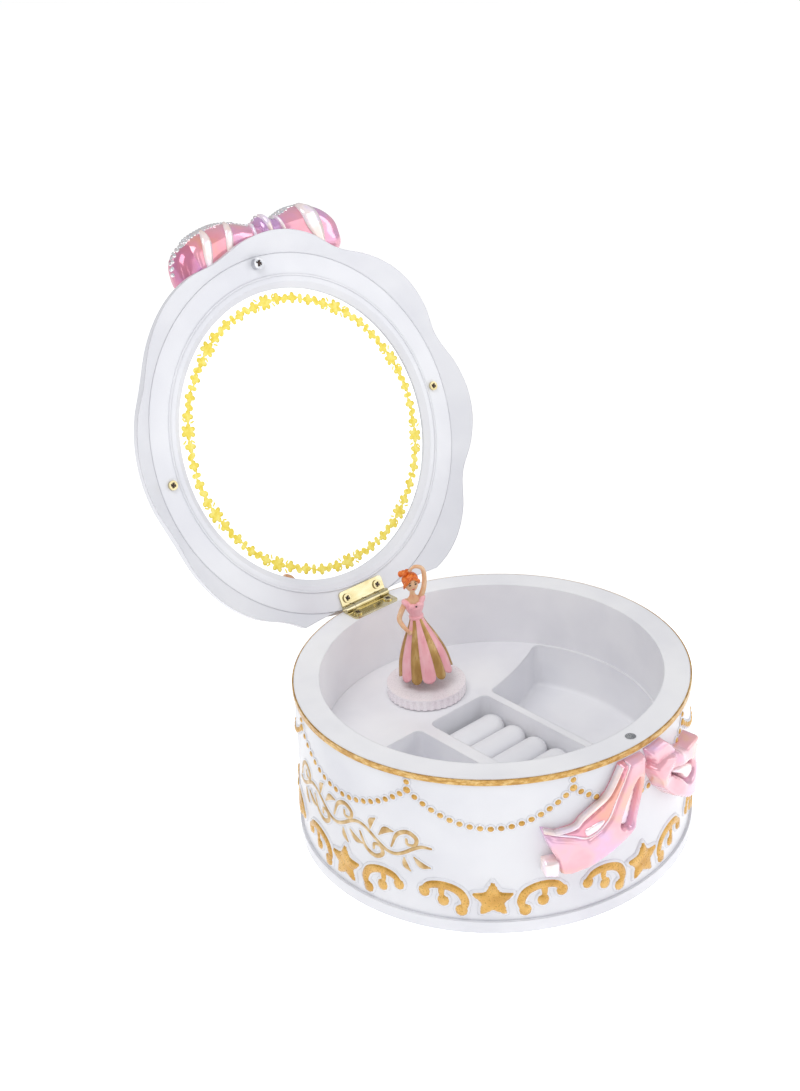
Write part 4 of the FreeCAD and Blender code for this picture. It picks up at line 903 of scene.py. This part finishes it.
# Dark rings of painted shade in the gaps between the knuckles of the hinge.
pin_low, pin_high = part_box("hinge_pin")
barrel_y, barrel_z = (pin_low.y + pin_high.y) / 2 / MM, (pin_low.z + pin_high.z) / 2 / MM
knuckle_gap_shade = []
for x in (-6.6, 0.0, 6.6):
    thick = 0.22 if x else 0.1
    knuckle_gap_shade.append(tube([[(x + side * thick, barrel_y + r * math.cos(t), barrel_z + r * math.sin(t))
                       for side, r in ((-1, 1.3), (1, 1.3), (1, 1.56), (-1, 1.56))]
                      for t in (math.radians(-150 + 250 * k / 40) for k in range(41))]))
merged("hinge_knuckle_gap_shade", knuckle_gap_shade, dark_paint_and_shade, "root")

# A strip closes the gap round the inner frame to a hairline, and a low ring steps its face down to the glass.
seams = [hoop(72.78, 73.02, 67.98, 68.4, 104.0, 436.0), hoop(63.6, 64.6, 67.5, 68.0, 0.0, 360.0)]
merged("lid_seam", seams, lid_abs, "lid", swing=True)


# ---------------------------------------------------------------- dancer

AXIS_Y = 37.5       # the turntable's axis
HEM_Z = 48.5
WAIST = 24.5
SKIRT_R = [(0.0, 11.0), (0.3, 9.7), (0.6, 7.0), (0.85, 4.1), (1.0, 2.7)]
STAND = (Matrix.Translation(Vector((0, AXIS_Y, HEM_Z)) * MM) @ Matrix.Rotation(math.radians(-25.0), 4, "Z")
         @ Matrix.Rotation(math.radians(-6.3), 4, "Y"))
PAIRS, PINK_AT, PINK_SHARE = 6, -97.5, 0.55


def stand(made):
    """Puts a piece from the doll's own frame on its spring."""
    made.data.transform(STAND)
    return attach(made, "dancer")


def skirt_radius(share):
    path = smooth_path([(h, r) for h, r in SKIRT_R], 8)
    return float(np.interp(share, [p[0] for p in path], [p[1] for p in path]))


rows, per_petal = 26, 12
ring_count = 2 * PAIRS * per_petal
outer, inner, faces, which = [], [], [], []
for k in range(rows + 1):
    share = k / rows
    for i in range(ring_count):
        pair, step = divmod(i, 2 * per_petal)
        across = (step % per_petal) / per_petal
        start, width = (-PINK_SHARE / 2, PINK_SHARE) if step < per_petal else (PINK_SHARE / 2, 1 - PINK_SHARE)
        turn = math.radians(PINK_AT) + 2 * math.pi * (pair + start + width * across) / PAIRS
        puff = math.sin(math.pi * across) ** 0.55 if across else 0.0
        flare = 1 - share
        r = skirt_radius(share) * (0.90 + 0.10 * puff * (0.35 + 0.65 * flare))
        z = WAIST * share - (1.0 - (1 - puff) * 2.6) * max(0.0, 1 - share * 6) * 0.8
        outer.append((r * math.cos(turn), r * math.sin(turn), z))
        inner.append(((r - 0.55) * math.cos(turn), (r - 0.55) * math.sin(turn), z))
count = len(outer)
for k in range(rows):
    for i in range(ring_count):
        j = (i + 1) % ring_count
        a, b = k * ring_count + i, k * ring_count + j
        c, d = b + ring_count, a + ring_count
        faces += [[a, b, c, d], [count + d, count + c, count + b, count + a]]
        which += [(i // per_petal) % 2] * 2
for i in range(ring_count):
    j = (i + 1) % ring_count
    top = rows * ring_count
    faces += [[i, count + i, count + j, j], [top + j, count + top + j, count + top + i, top + i]]
    which += [(i // per_petal) % 2] * 2
skirt = piece("petal_skirt", outer + inner, faces, [dress_pink, petal_gold], None, which)
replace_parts(stand(skirt), "dancer_skirt")

bust, shoulder, head = WAIST + 5.2, WAIST + 8.6, WAIST + 15.6
bodice = lathe([(0, 0, WAIST - 0.6, 2.75, 2.5), (0, 0, WAIST + 0.3, 2.45, 2.2),
                (0, -0.1, WAIST + 2.0, 2.7, 2.35), (0, -0.3, WAIST + 4.0, 3.5, 2.8),
                (0, -0.45, bust, 3.8, 2.9), (0, -0.25, bust + 0.9, 3.75, 2.4),
                (0, 0.2, bust + 1.5, 3.6, 1.7)])
sleeves = [limb([(side * 2.2, -1.5, bust + 0.6), (side * 3.1, -1.1, bust + 1.9),
                 (side * 3.7, -0.1, bust + 2.6), (side * 3.2, 1.2, bust + 1.8)], [1.0, 1.15, 1.2, 0.8])
           for side in (-1, 1)]
cups = [ball((side * 1.5, -2.0, bust + 0.5), (1.6, 1.2, 1.3)) for side in (-1, 1)]
belt = lathe([(0, 0, WAIST - 0.5, 2.8, 2.6), (0, 0, WAIST - 0.1, 2.95, 2.75), (0, 0, WAIST + 0.5, 2.9, 2.65),
              (0, 0, WAIST + 0.8, 2.55, 2.3)])
stand(merged("bodice", [bodice, belt] + cups + sleeves, dress_pink, None))

torso = lathe([(0, 0, bust + 0.4, 2.9, 1.9), (0, 0, bust + 2.0, 3.2, 1.9), (0, 0, shoulder - 0.6, 3.3, 1.7),
               (0, 0, shoulder + 0.1, 2.4, 1.4), (0, 0, shoulder + 0.8, 1.3, 1.1),
               (0, -0.1, shoulder + 2.0, 1.0, 1.0), (0.1, -0.2, shoulder + 3.6, 1.0, 1.0)])
skull = lathe([(0.2, -0.9, head - 3.75, 0.5, 0.4), (0.2, -0.9, head - 3.5, 1.2, 1.0),
               (0.2, -0.6, head - 2.8, 1.95, 1.9), (0.2, -0.3, head - 1.8, 2.5, 2.6),
               (0.2, -0.1, head - 0.6, 2.85, 3.0), (0.2, 0.0, head + 0.6, 2.95, 3.15),
               (0.2, 0.1, head + 1.8, 2.75, 2.95), (0.2, 0.2, head + 2.8, 2.0, 2.2),
               (0.2, 0.3, head + 3.3, 0.8, 0.9)])
nose = ball((0.2, -3.15, head - 0.7), (0.32, 0.4, 0.45), 6, 10)
raised_arm = limb([(3.0, 0, shoulder - 0.9), (5.2, 0, shoulder + 3.8), (6.0, 0, head + 2.4),
                   (5.1, -0.1, head + 5.0), (2.6, -0.4, head + 6.3), (0.4, -0.7, head + 5.6)],
                  [1.25, 1.05, 0.95, 0.85, 0.72, 0.5])
hip_arm = limb([(-3.0, 0, shoulder - 0.9), (-5.4, 0.2, shoulder - 4.6), (-6.9, 0.1, shoulder - 7.8),
                (-6.4, -1.4, WAIST - 1.4), (-5.5, -2.7, WAIST - 3.0), (-4.8, -3.4, WAIST - 4.0)],
               [1.3, 1.15, 1.05, 0.95, 0.85, 0.75])
hands = [ball((0.6, -0.8, head + 5.5), (1.0, 0.6, 0.6), 8, 12),
         ball((-4.5, -3.7, WAIST - 4.3), (1.05, 0.75, 1.15), 8, 12)]
figure = merged("figure_skin", [torso, skull, nose, raised_arm, hip_arm] + hands, doll_skin, None, levels=1)
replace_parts(stand(figure), "dancer_figure")

hair_cap = lathe([(0.2, 1.2, head - 2.4, 1.9, 1.9), (0.2, 1.1, head - 1.2, 2.9, 2.6),
                  (0.2, 0.9, head + 0.2, 3.3, 3.1), (0.2, 0.6, head + 1.6, 3.35, 3.4),
                  (0.2, 0.4, head + 2.6, 2.9, 3.1), (0.2, 0.4, head + 3.5, 1.9, 2.1),
                  (0.2, 0.4, head + 3.9, 0.5, 0.6)], 24)
bun = [ball((-1.9, 0.6, head + 4.2), (1.5, 1.5, 1.35), 8, 14),
       ball((-3.2, 0.4, head + 4.4), (1.1, 0.7, 1.4), 8, 12),
       ball((-0.6, 0.3, head + 4.9), (1.1, 0.7, 1.0), 8, 12),
       ball((-2.0, -0.9, head + 4.2), (0.55, 0.5, 0.6), 6, 10)]
waves = [limb([(0.2, -2.4, head + 3.0), (-1.6, -2.9, head + 1.7), (-2.7, -2.0, head + 0.2),
               (-2.9, -0.6, head - 1.6)], [0.45, 0.7, 0.7, 0.45]),
         limb([(0.2, -2.4, head + 3.0), (1.8, -2.8, head + 2.0), (2.9, -2.0, head + 0.7),
               (3.1, -0.6, head - 1.0)], [0.45, 0.65, 0.7, 0.45])]
stand(merged("hair", [hair_cap] + bun + waves, doll_hair, None, levels=1))

marks = [ball((0.2 + side * 1.15, -2.95, head + 0.1), (0.5, 0.26, 0.32), 6, 10) for side in (-1, 1)]
brows = [limb([(0.2 + side * 0.7, -3.0, head + 0.85), (0.2 + side * 1.2, -2.95, head + 1.05),
               (0.2 + side * 1.75, -2.7, head + 0.9)], [0.07, 0.11, 0.07], 3, 8)
         for side in (-1, 1)]
stand(merged("eyes_and_brows", marks + brows, dark_paint_and_shade, None))
stand(merged("mouth", [ball((0.2, -2.72, head - 1.95), (0.6, 0.3, 0.26), 6, 10)], face_red, None))
stand(merged("bodice_stone", [ball((0.0, -3.05, bust + 0.7), (0.38, 0.3, 0.38), 5, 8)], dark_paint_and_shade,
                     None, smooth=False))

# Coil spring, rising straight from the turntable.
SPRING_R, WIRE, TURNS = 1.5, 0.3, 9
table_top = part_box("turntable_disc")[1].z / MM
spring_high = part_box("dancer_spring")[1].z / MM
coil = [(SPRING_R * math.cos(t), AXIS_Y + SPRING_R * math.sin(t),
         table_top + WIRE + (spring_high - table_top - 2 * WIRE) * t / (TURNS * 2 * math.pi))
        for t in (2 * math.pi * k / 18 for k in range(TURNS * 18 + 1))]
spring = merged("coil_spring", [limb(coil, [WIRE] * len(coil), 1, 8)], spring_steel, None)
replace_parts(spring, "dancer_spring")
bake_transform(spring)


# ---------------------------------------------------------------- studio

floor_paper = finish("paper_sweep_white", ("#fbfbfc", "#ffffff"), 300, (0.6, 0.7), 3.0, 0.002,
                     Emission_Color=(1, 1, 1, 1), Emission_Strength=0.50)
sweep = piece("floor_sweep", [(x, y, -0.3) for x, y in ((-3000, -3000), (3000, -3000), (3000, 3000),
                                                        (-3000, 3000))],
              [[0, 1, 2, 3]], floor_paper, None, smooth=False)

bpy.context.scene.view_settings.view_transform = "Standard"
world = bpy.data.worlds.new("white_room")
world.use_nodes = True
world.node_tree.nodes["Background"].inputs["Color"].default_value = (1, 1, 1, 1)
world.node_tree.nodes["Background"].inputs["Strength"].default_value = 0.50
bpy.context.scene.world = world

MIDDLE = Vector((0.0, 0.03, 0.09))


def softbox(name, place, size, power):
    light = bpy.data.lights.new(name, "AREA")
    light.shape, light.size, light.size_y, light.energy = "RECTANGLE", size[0], size[1], power
    made = bpy.data.objects.new(name, light)
    made.location = place
    made.rotation_euler = (MIDDLE - Vector(place)).to_track_quat("-Z", "Y").to_euler()
    bpy.context.scene.collection.objects.link(made)


softbox("key_softbox", (-0.35, -0.10, 0.85), (0.6, 0.45), 2.6)
softbox("side_softbox", (0.75, -0.35, 0.45), (0.2, 0.5), 0.5)
softbox("left_strip", (-0.80, -0.30, 0.30), (0.05, 0.8), 0.35)
softbox("front_strip", (-0.15, -0.95, 0.50), (0.05, 0.8), 0.35)
softbox("mirror_board", (0.92, -1.18, 0.36), (1.5, 1.5), 7.4)

camera_data = bpy.data.cameras.new("camera")
camera_data.lens, camera_data.sensor_width = 56.15, 36.0
camera_data.clip_start, camera_data.clip_end = 0.05, 20.0
camera = bpy.data.objects.new("camera", camera_data)
back = Vector((-0.5792, -0.6802, 0.4492)).normalized()
right = Vector((0.7614, -0.6482, 0.0)).normalized()
up = back.cross(right)
roll = math.radians(-3.33)
across, rise = right * math.cos(roll) + up * math.sin(roll), up * math.cos(roll) - right * math.sin(roll)
camera.matrix_world = Matrix.Translation((-0.3848, -0.4031, 0.3980)) @ Matrix((across, rise,
                                                                               back)).transposed().to_4x4()
bpy.context.scene.collection.objects.link(camera)
bpy.context.scene.camera = camera

bpy.context.view_layer.update()
